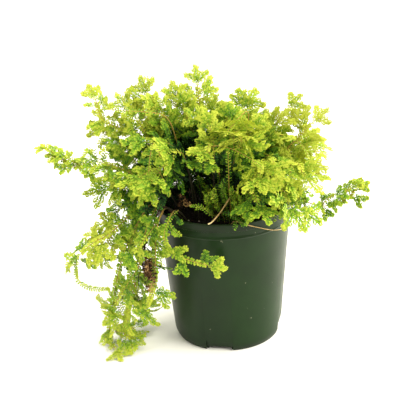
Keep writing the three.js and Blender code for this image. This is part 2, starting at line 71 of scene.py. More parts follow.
# name: seed, root in the soil, side sprays, their size, and the way to the tip
SHAPED = {
    "left_arm": (11, -34, -6, 3, 0.7, [
        (-48, -9, 140), (-84, -13, 157), (-107, -14, 160), (-122, -15, 161), (-131, -16, 168)]),
    "top_left": (12, -30, 6, 2, 0.75, [(-44, 4, 150), (-74, 1, 182), (-96, 0, 195), (-101, 0, 212)]),
    "top_spray": (13, -22, 14, 3, 0.8, [(-34, 12, 155), (-52, 10, 186), (-60, 9, 212)]),
    "top_crest": (14, -10, 14, 3, 0.8, [(-14, 13, 150), (-16, 15, 183), (-18, 20, 216)]),
    "top_middle": (15, 4, 12, 2, 0.9, [(4, 11, 150), (10, 12, 178), (15, 16, 194)]),
    "top_right": (16, 16, 10, 3, 0.8, [(28, 10, 150), (42, 10, 178), (56, 9, 196)]),
    "right_upper": (17, 28, -3, 3, 0.85, [(42, -5, 145), (60, -8, 172), (74, -10, 188)]),
    "right_hanging": (19, 33, 13, 2, 0.85, [(48, 17, 145), (64, 19, 166), (76, 19, 162)]),
    "right_arm": (20, 36, -14, 3, 0.75, [
        (49, -14, 128), (64, -15, 124), (82, -16, 118), (98, -18, 122), (109, -19, 132)]),
    "right_rim": (21, 38, -24, 1, 0.9, [(48, -25, 129), (57, -27, 128), (62, -28, 122)]),
    "left_middle": (23, -39, -11, 2, 0.9, [(-58, -13, 140), (-84, -15, 158), (-98, -18, 164)]),
    "left_curled": (22, -38, 2, 2, 0.85, [(-56, 2, 146), (-82, 6, 172), (-96, 8, 182)]),
    "left_low": (24, -45, -2, 3, 1, [(-60, -4, 134), (-78, -7, 142), (-92, -10, 140)]),
    "left_wide": (31, -35, -20, 3, 1, [(-44, -30, 142), (-52, -40, 164), (-62, -48, 162)]),
    "front_left": (25, -24, -22, 3, 1, [(-26, -30, 150), (-30, -38, 174), (-38, -46, 180)]),
    "front_middle": (26, -8, -24, 2, 1, [(-7, -30, 150), (-6, -36, 174), (-9, -44, 184), (-11, -50, 180)]),
    "front_edge": (28, 26, -24, 2, 1, [(34, -32, 136), (42, -42, 147), (48, -48, 144), (51, -52, 136)]),
    "front_high": (32, 4, -18, 3, 1, [(6, -22, 148), (12, -30, 170), (16, -38, 186), (14, -47, 190)]),
    "front_right": (33, 18, -19, 3, 1, [(22, -26, 142), (27, -36, 160), (30, -46, 167), (29, -53, 161)]),
    "front_low": (34, 14, -32, 2, 0.95, [(16, -38, 128), (19, -44, 141), (24, -52, 145), (26, -57, 139)]),
    "right_front": (35, 30, -13, 3, 1, [(42, -20, 140), (54, -28, 158), (60, -35, 163), (63, -42, 157)]),
    "rim_front": (29, 28, -36, 1, 0.9, [(30, -39, 126), (30, -44, 132)]),
}
TRAILING = {
    "trailing_long": (41, -43, -17, 5, 0.95, [
        (-56, -22, 130), (-70, -30, 117), (-84, -30, 90), (-95, -24, 56), (-102, -18, 24), (-106, -18, 7),
        (-104, -28, 3.2), (-98, -42, 3.2)]),
    "trailing_left": (42, -45, -9, 3, 0.95, [
        (-59, -13, 130), (-76, -20, 120), (-93, -31, 108), (-109, -37, 101), (-120, -38, 92)]),
    "trailing_back": (43, -46, 5, 5, 1, [
        (-60, 6, 130), (-75, 6, 112), (-83, 4, 78), (-87, 5, 42), (-91, 8, 10), (-91, 0, 3.4),
        (-84, -10, 3.4)]),
    "trailing_right": (44, -34, -31, 4, 0.95, [
        (-47, -38, 130), (-55, -47, 113), (-57, -51, 88), (-60, -53, 66), (-66, -52, 49)]),
    "trailing_inner": (46, -40, -24, 4, 0.95, [
        (-52, -31, 130), (-63, -40, 114), (-70, -42, 88), (-78, -38, 58), (-86, -34, 34), (-90, -34, 24)]),
    "over_front": (45, -30, -36, 3, 0.8, [
        (-39, -46, 131), (-48, -55, 114), (-44, -58, 100), (-30, -61, 94), (-14, -64, 90)]),
}
BARE = {
    "withered_stem": (-39.5, -29, [
        (-49.5, -34.5, 130), (-59, -43.5, 114), (-66, -46, 98), (-68, -47, 86), (-67, -48, 78)]),
    "cut_stem": (12, -14, [
        (11, -21, 133), (9, -29, 139), (5, -37, 136), (-2, -45, 128.5), (-9, -54, 123.6),
        (-12.5, -59, 123.4)]),
    "rhizophore": (6, -44, [
        (8, -50, 121), (12, -56, 122.8), (18, -57.2, 120.6), (25.4, -53.6, 117), (36.8, -46.2, 111),
        (43.8, -39.7, 108), (50.2, -31.2, 105.4)]),
}


def lerp(low, high, share):
    return low + (high - low) * share


def unit(vector):
    return vector / np.linalg.norm(vector)


def seeded(seed):
    """Repeatable random numbers from 0 to 1 (mulberry32), as the frame's growth draws them."""
    mask = 0xFFFFFFFF
    state = seed & mask

    def draw():
        nonlocal state
        state = (state + 0x6D2B79F5) & mask
        mixed = ((state ^ (state >> 15)) * (state | 1)) & mask
        mixed ^= (mixed + (((mixed ^ (mixed >> 7)) * (mixed | 61)) & mask)) & mask
        return ((mixed ^ (mixed >> 14)) & mask) / 2 ** 32

    return draw


class Route:
    """Smooth curve through points (uniform Catmull-Rom), measured by its arc length."""

    SPLITS = np.linspace(0, 1, 201)

    def __init__(self, points):
        points = np.array(points, float)
        self.points = np.vstack([2 * points[0] - points[1], points, 2 * points[-1] - points[-2]])
        self.pieces = len(points) - 1
        steps = np.linalg.norm(np.diff(self.at(self.SPLITS), axis=0), axis=1)
        self.lengths = np.concatenate([[0], np.cumsum(steps)])
        self.length = self.lengths[-1]

    def at(self, share):
        place = np.clip(np.asarray(share, float), 0, 1) * self.pieces
        piece = np.minimum(place.astype(int), self.pieces - 1)
        t = (place - piece)[..., None]
        before, a, b, after = (self.points[piece + shift] for shift in range(4))
        out, back = (b - before) / 2, (after - a) / 2
        return a + t * out + t * t * (3 * (b - a) - 2 * out - back) + t ** 3 * (2 * (a - b) + out + back)

    def along(self, share):
        """Places at shares of the arc length."""
        return self.at(np.interp(np.asarray(share) * self.length, self.lengths, self.SPLITS))


def rooted(x, y, way):
    """A stem's way from its foot in the soil."""
    return [(x, y, SOIL_TOP + height) for height in (-STEM.buried, -1, STEM.upright)] + way


def aloft(place):
    return min(max((place[2] - LYING.height) / LYING.rise, 0), 1)


def face_front(place):
    return unit(np.array([0, -0.6, 1]))


def face_trailing(place):
    return unit(np.array([-0.5, -1, 0.5 + 3 * (1 - aloft(place))]))


def face_outwards(place):
    return unit((place - CANOPY.centre) / CANOPY.radii + [0, 0, 0.2])


class Stem:
    """One stem of the frame: its smooth route, its straight pieces and the way that its sprays face."""

    def __init__(self, name, seed, points, sprays, size, facing):
        self.name, self.seed, self.sprays, self.size, self.facing = name, seed, sprays, size, facing
        self.route = Route(points)
        self.length = self.route.length
        steps = max(2, round(self.length / STEM.step))
        self.nodes = self.route.along(np.linspace(0, 1, steps + 1))

    def on(self, along):
        steps = len(self.nodes) - 1
        piece = min(steps - 1, math.floor(along * steps))
        a, b = self.nodes[piece], self.nodes[piece + 1]
        return lerp(a, b, along * steps - piece), unit(b - a)

    def matrix(self, spray):
        """Columns: the spray's axis, its breadth, its face, and its place."""
        place, ahead = self.on(spray["along"])
        face = self.facing(place)
        face = unit(face - face.dot(ahead) * ahead)
        face = rotated(face, ahead, math.radians(spray["roll"]))
        turn = math.radians(spray["turn"])
        axis = math.cos(turn) * ahead + spray["side"] * math.sin(turn) * np.cross(face, ahead)
        return np.column_stack([axis, np.cross(face, axis), face, place])


def rotated(vector, axis, angle):
    cos, sin = math.cos(angle), math.sin(angle)
    return vector * cos + np.cross(axis, vector) * sin + axis * axis.dot(vector) * (1 - cos)


def drawn_sprays(stem):
    """The sprays that a stem may bear, from the fan at its tip down."""
    random = seeded(stem.seed)
    for index in range(stem.sprays + 1):
        shift, turn, roll, droop, size = (random() for _ in range(5))
        tip = index == 0
        pitch = GROWTH.spacing * stem.size
        back = GROWTH.inset if tip else GROWTH.first + pitch * (index - 1) + GROWTH.shift * shift
        along = 1 - back / stem.length
        sag = aloft(stem.on(along)[0])
        yield {
            "along": along, "side": 1 if (index + stem.seed) % 2 == 0 else -1,
            "turn": 0 if tip else lerp(*GROWTH.turn, turn), "roll": lerp(*GROWTH.roll, roll) * sag,
            "droop": lerp(*GROWTH.droop, droop) * sag, "cup": GROWTH.cup * sag,
            "size": stem.size * lerp(*GROWTH.size, size), "lobes": 3 if tip else 2,
        }


def reach_of(spray):
    return (SPRAY.stalk + SPRAY.lobe) * spray["size"]


def aims(lobes):
    """How far each lobe of a spray turns off its axis."""
    return (np.arange(lobes) - (lobes - 1) / 2) * SPRAY.turn


def bent(spray, points):
    """Points of a flat spray, once it sags along and across as the frame's blade does."""
    x, y = points[:, 0] / reach_of(spray), points[:, 1] / reach_of(spray)
    out = points.copy()
    out[:, 2] -= spray["droop"] * x * x + spray["cup"] * y * y
    return out


def placed(matrix, points):
    return points @ matrix[:, :3].T + matrix[:, 3]


def corners_of(node):
    """Search tree of a frame node's corners, in millimetres."""
    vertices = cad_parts[node].data.vertices
    tree = KDTree(len(vertices))
    for index, vertex in enumerate(vertices):
        tree.insert(vertex.co / MM, index)
    tree.balance()
    return tree


def held_sprays(stem):
    """The sprays that the frame's node has, each in the pose in which it is held there."""
    tree = corners_of(stem.name)
    held = []
    for spray in drawn_sprays(stem):
        for roll, shrink in POSES:
            pose = {**spray, "roll": spray["roll"] + roll, "size": spray["size"] * shrink}
            matrix, angles = stem.matrix(pose), np.radians(aims(pose["lobes"]))
            hub, length = SPRAY.stalk * pose["size"], SPRAY.lobe * SPRAY.end * pose["size"]
            ends = placed(matrix, bent(pose, np.column_stack([
                hub + length * np.cos(angles), length * np.sin(angles),
                np.full(len(angles), SPRAY.thickness / 2)])))
            if all(tree.find(Vector(end))[2] < FOUND.lobe for end in ends):
                held.append({**pose, "matrix": matrix})
                break
    return held


def on_dome(polar, azimuth, layer):
    def full(value):
        return math.copysign(abs(value) ** CANOPY.fullness, value)

    polar, azimuth = math.radians(polar), math.radians(azimuth)
    flat = full(math.sin(polar)) * layer
    shape = np.array([flat * math.cos(azimuth), flat * math.sin(azimuth), full(math.cos(polar)) * layer])
    return tuple(CANOPY.centre + CANOPY.radii * shape)


def canopy_stem(index):
    """The stem that carries one place of the dome: the try whose foot the frame's node stands on."""
    name = f"canopy_{index + 1:02d}"
    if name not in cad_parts:
        return None
    tree = corners_of(name)
    share = (index + 0.5) / CANOPY.stems
    polar = math.degrees(math.acos(1 - share * (1 - math.cos(math.radians(CANOPY.lowest)))))
    azimuth = (index * CANOPY.golden + CANOPY.azimuth) % 360
    for attempt in range(CANOPY.tries):
        random = seeded(CANOPY.draws + index * CANOPY.stride + attempt)
        aim, bend, depth, reach = (random() for _ in range(4))
        heading = azimuth + lerp(-CANOPY.aim, CANOPY.aim, aim)
        headings = (heading + lerp(-CANOPY.bend, CANOPY.bend, bend), heading, azimuth, azimuth)
        way = [
            on_dome(part * polar, turn, lerp(*layers, depth))
            for (part, *layers), turn in zip(CANOPY_WAY, headings)]
        distance = CANOPY.near + CANOPY.spread * polar / CANOPY.lowest
        distance += lerp(-CANOPY.reach, CANOPY.reach, reach)
        x, y = distance * math.cos(math.radians(heading)), distance * math.sin(math.radians(heading))
        foot = Vector((x, y, SOIL_TOP - STEM.buried))
        if abs(tree.find(foot)[2] - STEM.base) < FOUND.foot:
            return Stem(
                name, CANOPY.seed + index, rooted(x, y, way), CANOPY.sprays, CANOPY.size,
                face_outwards)
    return None


def all_stems():
    stems = []
    for table, facing in ((SHAPED, face_front), (TRAILING, face_trailing)):
        for name, (seed, x, y, sprays, size, way) in table.items():
            stems.append(Stem(name, seed, rooted(x, y, way), sprays, size, facing))
    stems += [stem for stem in map(canopy_stem, range(CANOPY.stems)) if stem]
    return stems


# ---------------- leaves and branchlets

# Leaves are folded along their middle and flat underneath. Each rim corner from the base, by the left,
# round the tip: share of the length, share of the width, and 1 where it is on the fold. Then the faces.
LEAF = (
    np.array([
        (0, 0, 1), (0.34, -0.47, 0), (0.78, -0.41, 0), (1, 0, 1), (0.78, 0.41, 0), (0.34, 0.47, 0)]),
    np.array([(0, 3, 2), (0, 2, 1), (0, 5, 4), (0, 4, 3), (0, 1, 5), (1, 2, 4), (1, 4, 5), (2, 3, 4)]))
SMALL_LEAF = (
    np.array([(0, 0, 1), (0.56, -0.5, 0), (1, 0, 1), (0.56, 0.5, 0)]),
    np.array([(0, 2, 1), (0, 3, 2), (0, 1, 3), (1, 2, 3)]))

# Side leaves. A pair is a mean and its spread for lift and twist, the least and the most for length and
# curl, and otherwise the value at the foot and at the end of the branchlet.
SIDE = Values(
    width=0.66, broad=(0.92, 1.14), fold=0.16, angle=(68, 58), end=34, stray=4,
    lift=(8, 8), twist=(-14, 10), length=(0.9, 1.08), curl=(0.02, 0.16), sickle=0.07,
    tone=(-0.12, 0.24), mottle=0.05)
# What shrivelled leaves gain in the spread of angle and lift and in curl, and what they lose in width.
SHRIVEL = Values(stray=22, lift=30, curl=0.7, width=0.45)
LEAF_LENGTH = {"stem": 3.8, "lobe": 2.9, "twig": 2.35, "comb": 3.0, "low_comb": 2.8, "runner": 2.7}
PITCH = {
    "stem": 2.6, "lobe": 1.25, "twig": 1.05, "comb": 2.0, "low_comb": 2.2, "comb_twig": 1.8, "runner": 2.6,
    "withered": 1.7, "litter": 2.4,
}
# Radii of axes at their foot and at their end.
RADII = {
    "stem": (0.72, 0.42), "shoot": (0.4, 0.3), "stalk": (0.42, 0.28), "lobe": (0.28, 0.12),
    "twig": (0.2, 0.12), "comb": (0.36, 0.22), "comb_twig": (0.22, 0.12), "runner": (0.55, 0.32),
    "runner_leaves": (0.3, 0.3), "rootlet": (0.34, 0.2), "withered": (0.25, 0.15), "litter": (0.3, 0.18),
}
# The twigs of a lobe, from its foot: share of its length, how long beside it, and how far they turn off.
TWIGS = [
    (0.13, 0.25, 62), (0.26, 0.32, 58), (0.39, 0.34, 52), (0.53, 0.33, 44), (0.66, 0.3, 36), (0.79, 0.25, 28)]
TWIG_CURL = -22
LOBE_STEPS, TWIG_STEPS = 7, 3
# The lowest that a leaf lies over the ground.
LOWEST = 0.15


def leaf_length(part, size):
    """Leaves of small sprays are less small than the sprays."""
    return LEAF_LENGTH[part] * (0.42 + 0.58 * size)


def smoothstep(low, high, value):
    share = np.clip((value - low) / (high - low), 0, 1)
    return share * share * (3 - 2 * share)


def units(rows):
    return rows / np.linalg.norm(rows, axis=1, keepdims=True)


def swung(ahead, aside, angle):
    """Directions turned by an angle from one towards the other."""
    return np.cos(angle)[:, None] * ahead + np.sin(angle)[:, None] * aside


def walls(rings, sides):
    """Triangles between neighbouring rings of corners."""
    ring, here = np.arange(rings - 1)[:, None] * sides, np.arange(sides)
    a, b = ring + here, ring + (here + 1) % sides
    return np.concatenate([
        np.stack(corners, -1).reshape(-1, 3) for corners in ([a, a + sides, b], [b, a + sides, b + sides])])


class Foliage:
    """Gathers the leaves and axes of one piece, and makes its mesh."""

    def __init__(self, seed):
        self.random = np.random.default_rng(seed)
        self.corners, self.faces, self.marks, self.count = [], [], [], 0

    def add(self, corners, faces, *marks):
        """Corners and triangles, with what the material reads there: tone, woody, along and fleck."""
        self.corners.append(corners)
        self.faces.append(faces + self.count)
        self.marks.append(np.column_stack([np.broadcast_to(mark, len(corners)) for mark in marks]))
        self.count += len(corners)

    def tube(self, points, faces, radii, sides, tone, woody):
        """Round axis through points, closed at both ends."""
        ahead = units(np.gradient(points, axis=0))
        across = units(np.cross(faces, ahead))
        up = np.cross(ahead, across)
        turns = 2 * np.pi * np.arange(sides) / sides
        ring = np.cos(turns)[None, :, None] * up[:, None] + np.sin(turns)[None, :, None] * across[:, None]
        corners = (points[:, None] + np.asarray(radii)[:, None, None] * ring).reshape(-1, 3)
        last = (len(points) - 1) * sides
        caps = [(0, i, i + 1) for i in range(1, sides - 1)]
        caps += [(last, last + i + 1, last + i) for i in range(1, sides - 1)]
        along = np.repeat(np.linspace(0, 1, len(points)), sides)
        triangles = np.concatenate([walls(len(points), sides), caps])
        self.add(corners, triangles, tone, woody, along, self.random.random())

    def leaves(self, template, place, ahead, up, length, width, curl, sickle, tone, dry=0.0):
        """One leaf at each place, along its own direction."""
        across = units(np.cross(up, ahead))
        up = np.cross(ahead, across)
        rim, triangles = template
        x, y, fold = rim.T
        length, width = length[:, None], width[:, None]
        forward = length * x
        sideways = width * y + sickle[:, None] * length * x * x
        upward = SIDE.fold * width * fold - curl[:, None] * length * x * x
        corners = (
            place[:, None] + forward[..., None] * ahead[:, None] + sideways[..., None] * across[:, None]
            + upward[..., None] * up[:, None])
        each = len(rim)
        faces = triangles[None] + (np.arange(len(place)) * each)[:, None, None]
        self.add(
            corners.reshape(-1, 3), faces.reshape(-1, 3), np.repeat(tone, each), dry,
            np.tile(x, len(place)), np.repeat(self.random.random(len(place)), each))

    def branchlet(
            self, points, faces, radii, leaf, pitch, tone, first=0.0, woody=0.0, blunt=1.0, shrivel=0.0,
            template=SMALL_LEAF, coarse=1.0, slim=1.0, scales=False, dry=0.0):
        """A leafy axis: two rows of side leaves, small ones on top of it if asked, and one at its end.

        It is bare up to the share first. A blunt one has closer, shorter leaves at its end, and a coarse one
        has fewer and broader leaves.
        """
        draw = self.random
        steps = np.linalg.norm(np.diff(points, axis=0), axis=1)
        reach = np.concatenate([[0], np.cumsum(steps)])
        total = reach[-1]
        count = 2 * max(2, round(total * (1 - first) / (pitch * coarse)))
        share = (np.arange(count) + 0.5 + draw.uniform(-0.2, 0.2, count)) / count
        at = total * (first + (1 - first) * 0.985 * (1 - (1 - share) ** (1 + 0.35 * blunt)))
        side = np.where(np.arange(count) % 2, 1.0, -1.0)

        def sample(rows):
            return np.column_stack([np.interp(at, reach, rows[:, axis]) for axis in range(3)])

        tangents = units(np.gradient(points, axis=0))
        place, ahead = sample(points), units(sample(tangents))
        across = units(sample(units(np.cross(faces, tangents))))
        up = np.cross(ahead, across)
        radius = np.interp(at, reach, np.linspace(*radii, len(reach)))[:, None]

        angle = np.radians(lerp(*SIDE.angle, share ** 2) - SIDE.end * blunt * smoothstep(0.7, 1, share))
        angle += np.radians(draw.normal(0, SIDE.stray + SHRIVEL.stray * shrivel, count))
        mean, spread = SIDE.lift
        lift = np.radians(draw.normal(mean, spread + SHRIVEL.lift * shrivel, count))
        out = side[:, None] * across
        way = swung(swung(ahead, out, angle), up, lift)
        facing = swung(up, np.cross(way, up), side * np.radians(draw.normal(*SIDE.twist, count)))
        length = leaf * (0.88 + 0.12 * np.sin(np.pi * share)) * draw.uniform(*SIDE.length, count)
        length *= 1 - 0.12 * blunt * smoothstep(0.75, 1, share)
        width = SIDE.width * coarse * slim * lerp(*SIDE.broad, share)
        width = width * (1 - SHRIVEL.width * shrivel) * length
        tones = np.broadcast_to(tone, len(points))
        leaf_tone = np.interp(at, reach, tones) + lerp(*SIDE.tone, share)
        leaf_tone += draw.normal(0, SIDE.mottle, count)
        least, most = SIDE.curl
        curl = draw.uniform(least, most + SHRIVEL.curl * shrivel, count)
        self.leaves(
            template, place + 0.5 * radius * out, way, facing, length, width, curl, -SIDE.sickle * side,
            leaf_tone, dry)
        if scales:
            half = slice(0, count, 2)
            way = units(ahead + 0.4 * out * draw.uniform(0.6, 1.2, count)[:, None] + 0.22 * up)[half]
            small = 0.5 * length[half]
            self.leaves(
                SMALL_LEAF, (place + 0.8 * radius * up)[half], way, up[half], small, 0.5 * small,
                np.full(len(small), 0.05), np.zeros(len(small)), leaf_tone[half] + 0.08)

        end = points[-1:] - 0.3 * tangents[-1:]
        self.leaves(
            SMALL_LEAF, end, tangents[-1:], up[-1:], np.array([0.75 * leaf]), np.array([0.45 * leaf]),
            np.array([0.1]), np.array([0.0]), leaf_tone[-1:])
        self.tube(points, faces, np.linspace(*radii, len(points)), 3, np.repeat(tones, 3), woody)

    def mesh(self, name):
        """The piece's mesh, in metres. What would go into the ground is pressed flat on it."""
        corners, level = np.concatenate(self.corners), LYING.height / 2
        low, room = corners[:, 2] < level, level - LOWEST
        corners[low, 2] = LOWEST + room * np.exp((corners[low, 2] - level) / room)
        marks = np.concatenate(self.marks)
        mesh = bpy.data.meshes.new(name)
        mesh.from_pydata(corners * MM, [], np.concatenate(self.faces))
        for column, mark in enumerate(("tone", "woody", "along", "fleck")):
            attribute = mesh.attributes.new(mark, "FLOAT", "POINT")
            attribute.data.foreach_set("value", np.ascontiguousarray(marks[:, column], np.float32))
        mesh.shade_smooth()
        mesh.set_sharp_from_angle(angle=math.radians(100))
        return mesh


def arc(start, heading, turn, length, steps):
    """Flat points of a curve that starts at a heading and turns evenly along its length."""
    headings = np.radians(heading + turn * (np.arange(steps) + 0.5) / steps)
    moves = np.column_stack([np.cos(headings), np.sin(headings), np.zeros(steps)]) * length / steps
    return np.vstack([start, start + np.cumsum(moves, axis=0)])


def depth_of(place):
    """0 in the middle of the bush, 1 at the outside of its dome."""
    return np.linalg.norm((place - CANOPY.centre) / CANOPY.radii)


# Lighter and darker zones of the foliage: how much, and from where to where each sets in, and fades.
# Darker inside the bush is partly older leaves and partly painted shade. The hollow is painted shade;
# the left and the belt are painted light, on foliage that the fronds above shade.
TONES = {
    "outside": (0.66, 0.58, 1.02), "tips": (0.1, 1, 1.3), "top": (0.1, 145, 190), "hanging": (0.1, 30, 85),
    "left": (0.13, -52, -68), "hollow": (0.62, -46, -32, -4, 10), "belt": (0.15, 135, 155, 185, 205),
    "belt_middle": (1, -70, 20), "belt_right": (0.4, 10, 70), "left_heights": (1, 92, 108, 138, 152),
    "hollow_heights": (1, 110, 130, 168, 181),
}
# Painted shade: foliage near the soil is darker, up to a height over it and but for what is well beyond
# the pot's lip.
PAINTED_LOW_SHADE = Values(tone=0.5, height=50, under=0.9, beyond=1.2)
# Where stems hang: how far to the left, and up to what height over the soil.
HANGING = Values(left=-88, height=18)


def effect(name, value):
    """How much a zone does at this depth in the bush, height, or place from the left to the right."""
    strength, start, full, *fade = TONES[name]
    share = smoothstep(start, full, value)
    return strength * share * smoothstep(*reversed(fade), value) if fade else strength * share


def tone_at(place):
    """How light the foliage is: older leaves and painted shade inside the bush, yellower ones outside it."""
    x, y, z = place
    depth = depth_of(place)
    age_and_painted_light = effect("outside", depth) + effect("tips", depth) + effect("top", z)
    # Painted shade low over the soil, but not well beyond the pot's lip.
    low = lerp(PAINTED_LOW_SHADE.tone, 1, smoothstep(SOIL_TOP, SOIL_TOP + PAINTED_LOW_SHADE.height, z) if z > SOIL_TOP else PAINTED_LOW_SHADE.under)
    age_and_painted_light *= lerp(low, 1, smoothstep(POT_LIP, PAINTED_LOW_SHADE.beyond * POT_LIP, math.hypot(x, y)))
    if HANGING.left < x < -POT_LIP and z < SOIL_TOP + HANGING.height:
        age_and_painted_light *= 1 - effect("hanging", z)
    # Painted light on the left, under the canopy's shade.
    age_and_painted_light += effect("left", x) * effect("left_heights", z)
    # Painted shade in the hollow at the front of the bush.
    age_and_painted_light *= 1 - effect("hollow", x) * effect("hollow_heights", z)
    # Painted light on the middle belt, which the fronds above shade; a little darker far to the left.
    return float(age_and_painted_light + effect("belt", z) * (effect("belt_middle", x) + effect("belt_right", x) - 0.2))


class Lobe:
    """A curved axis in a spray's plane, which may be tilted about its own line."""

    def __init__(self, spray, aim, length, tilt):
        self.spray, self.length = spray, length
        self.hub = SPRAY.stalk * spray["size"]
        self.spread = 1.1 * aim
        self.heading = aim - self.spread / 2
        self.curve = arc(np.array([self.hub, 0, 0]), self.heading, self.spread, length, LOBE_STEPS)
        angle = math.radians(aim)
        self.slope = np.array([-math.sin(angle), math.cos(angle)]) * math.sin(math.radians(tilt))

    def held(self, flat):
        """Where flat points are held, and which way the blade faces there."""
        spray, tilted = self.spray, flat.copy()
        tilted[:, 2] += (flat[:, :2] - [self.hub, 0]) @ self.slope
        slopes = 2 * flat[:, :2] * [spray["droop"], spray["cup"]] / reach_of(spray) ** 2 - self.slope
        faces = units(np.column_stack([slopes, np.ones(len(flat))])) @ spray["matrix"][:, :3].T
        return placed(spray["matrix"], bent(spray, tilted)), faces


# Stems whose sprays are slimmer than their blades in the frame.
SLIM = {
    "over_front": 0.72, "right_arm": 0.66, "left_arm": 0.64, "front_left": 0.76, "canopy_08": 0.5,
    "canopy_01": 0.84, "canopy_13": 0.88, "canopy_05": 0.88, "right_front": 0.9, "top_left": 0.72,
    "top_spray": 0.9, "top_crest": 0.85, "top_middle": 0.85, "top_right": 0.85, "left_curled": 0.8,
    "front_middle": 0.58, "right_upper": 0.9, "right_hanging": 0.85, "trailing_long": 0.82,
    "trailing_back": 0.8, "trailing_inner": 0.8, "trailing_right": 0.85,
}
# How sprays vary, by their spread or by the least and the most, and how coarse they are inside the bush
# and outside it.
VARIED = Values(
    tone=0.09, lobe=(0.94, 1.04), tilt=16, lobe_rise=(-2.6, 0.8), turn=(0.9, 1.08),
    twig=(0.85, 1.12), twig_rise=(-1.8, 0.5), coarse=(1.55, 1.0), coarse_depths=(0.5, 0.9))


def grow_spray(foliage, stem, spray, twigs=6):
    """A spray: its bare stalk from the stem, then lobes that bear leafy twigs on both sides."""
    size, matrix, draw = spray["size"], spray["matrix"], foliage.random
    tone = tone_at(matrix[:, 3]) + draw.normal(0, VARIED.tone)
    inside = float(smoothstep(*VARIED.coarse_depths, depth_of(matrix[:, 3])))
    coarse = lerp(*VARIED.coarse, inside)

    stalk = Lobe(spray, 0, 1, 0)
    points, faces = stalk.held(np.column_stack([np.linspace(0, stalk.hub, 4), np.zeros((4, 2))]))
    points += np.linspace(1, 0, 4)[:, None] * (stem.route.along(spray["along"]) - points[0])
    foliage.branchlet(
        points, faces, RADII["stalk"], 0.85 * leaf_length("lobe", size), 1.4 * PITCH["lobe"], tone, 0.3, 0.5,
        0.2, coarse=coarse)

    crowd = 0.4 + 0.6 * size
    for aim in aims(spray["lobes"]):
        length = SPRAY.lobe * size * SLIM.get(stem.name, 1) * draw.uniform(*VARIED.lobe)
        lobe = Lobe(spray, aim, length, draw.normal(0, VARIED.tilt))
        curve = lobe.curve
        curve[:, 2] += draw.uniform(*VARIED.lobe_rise) * size * np.linspace(0, 1, LOBE_STEPS + 1) ** 2
        foliage.branchlet(
            *lobe.held(curve), RADII["lobe"], leaf_length("lobe", size), PITCH["lobe"] * crowd, tone, 0.06,
            0.25, coarse=coarse)
        first_side = math.copysign(1, aim) if aim else (1 if draw.random() < 0.5 else -1)
        for index, (share, part, turn) in enumerate(TWIGS[-twigs:]):
            side = first_side if index % 2 == 0 else -first_side
            inner = aim != 0 and side != math.copysign(1, aim)
            heading = lobe.heading + lobe.spread * share + side * turn * draw.uniform(*VARIED.turn)
            run = part * lobe.length * draw.uniform(*VARIED.twig) * (0.85 if inner else 1)
            twig = arc(curve[round(share * LOBE_STEPS)], heading, side * TWIG_CURL, run, TWIG_STEPS)
            twig[:, 2] += draw.uniform(*VARIED.twig_rise) * size * np.linspace(0, 1, TWIG_STEPS + 1) ** 2
            foliage.branchlet(
                *lobe.held(twig), RADII["twig"], leaf_length("twig", size), PITCH["twig"] * crowd,
                tone + 0.05, 0.1, coarse=coarse)


# Where the bush parts at the front, so that the dark inside and the soil show: centre and radii.
HOLLOWS = [
    (np.array([-26.0, -28.0, 142.0]), np.array([22.0, 34.0, 24.0])),
    (np.array([-32.0, -34.0, 120.0]), np.array([24.0, 18.0, 13.0])),
]
# Fronds between the sprays. They grow larger and fork more often from the first height up to the second.
INFILL = Values(
    start=0.14, end=0.97, spacing=4.1, low=(0.42, 0.56), high=(0.66, 0.92), turn=(48, 78),
    roll=(-50, 50), droop=(3, 8), cup=2, twigs=4, heights=(SOIL_TOP + 8, SOIL_TOP + 45),
    trailing=0.6, single=0.75, forked=0.3, clear=3)
# Stems that are open beyond this share of their length.
OPEN = {
    "left_arm": 0.45, "right_arm": 0.5, "over_front": 0.5, "front_left": 0.3, "front_middle": 0.5,
    "trailing_long": 0.5, "trailing_back": 0.5, "trailing_inner": 0.5, "trailing_right": 0.55,
    "canopy_08": 0.6,
}

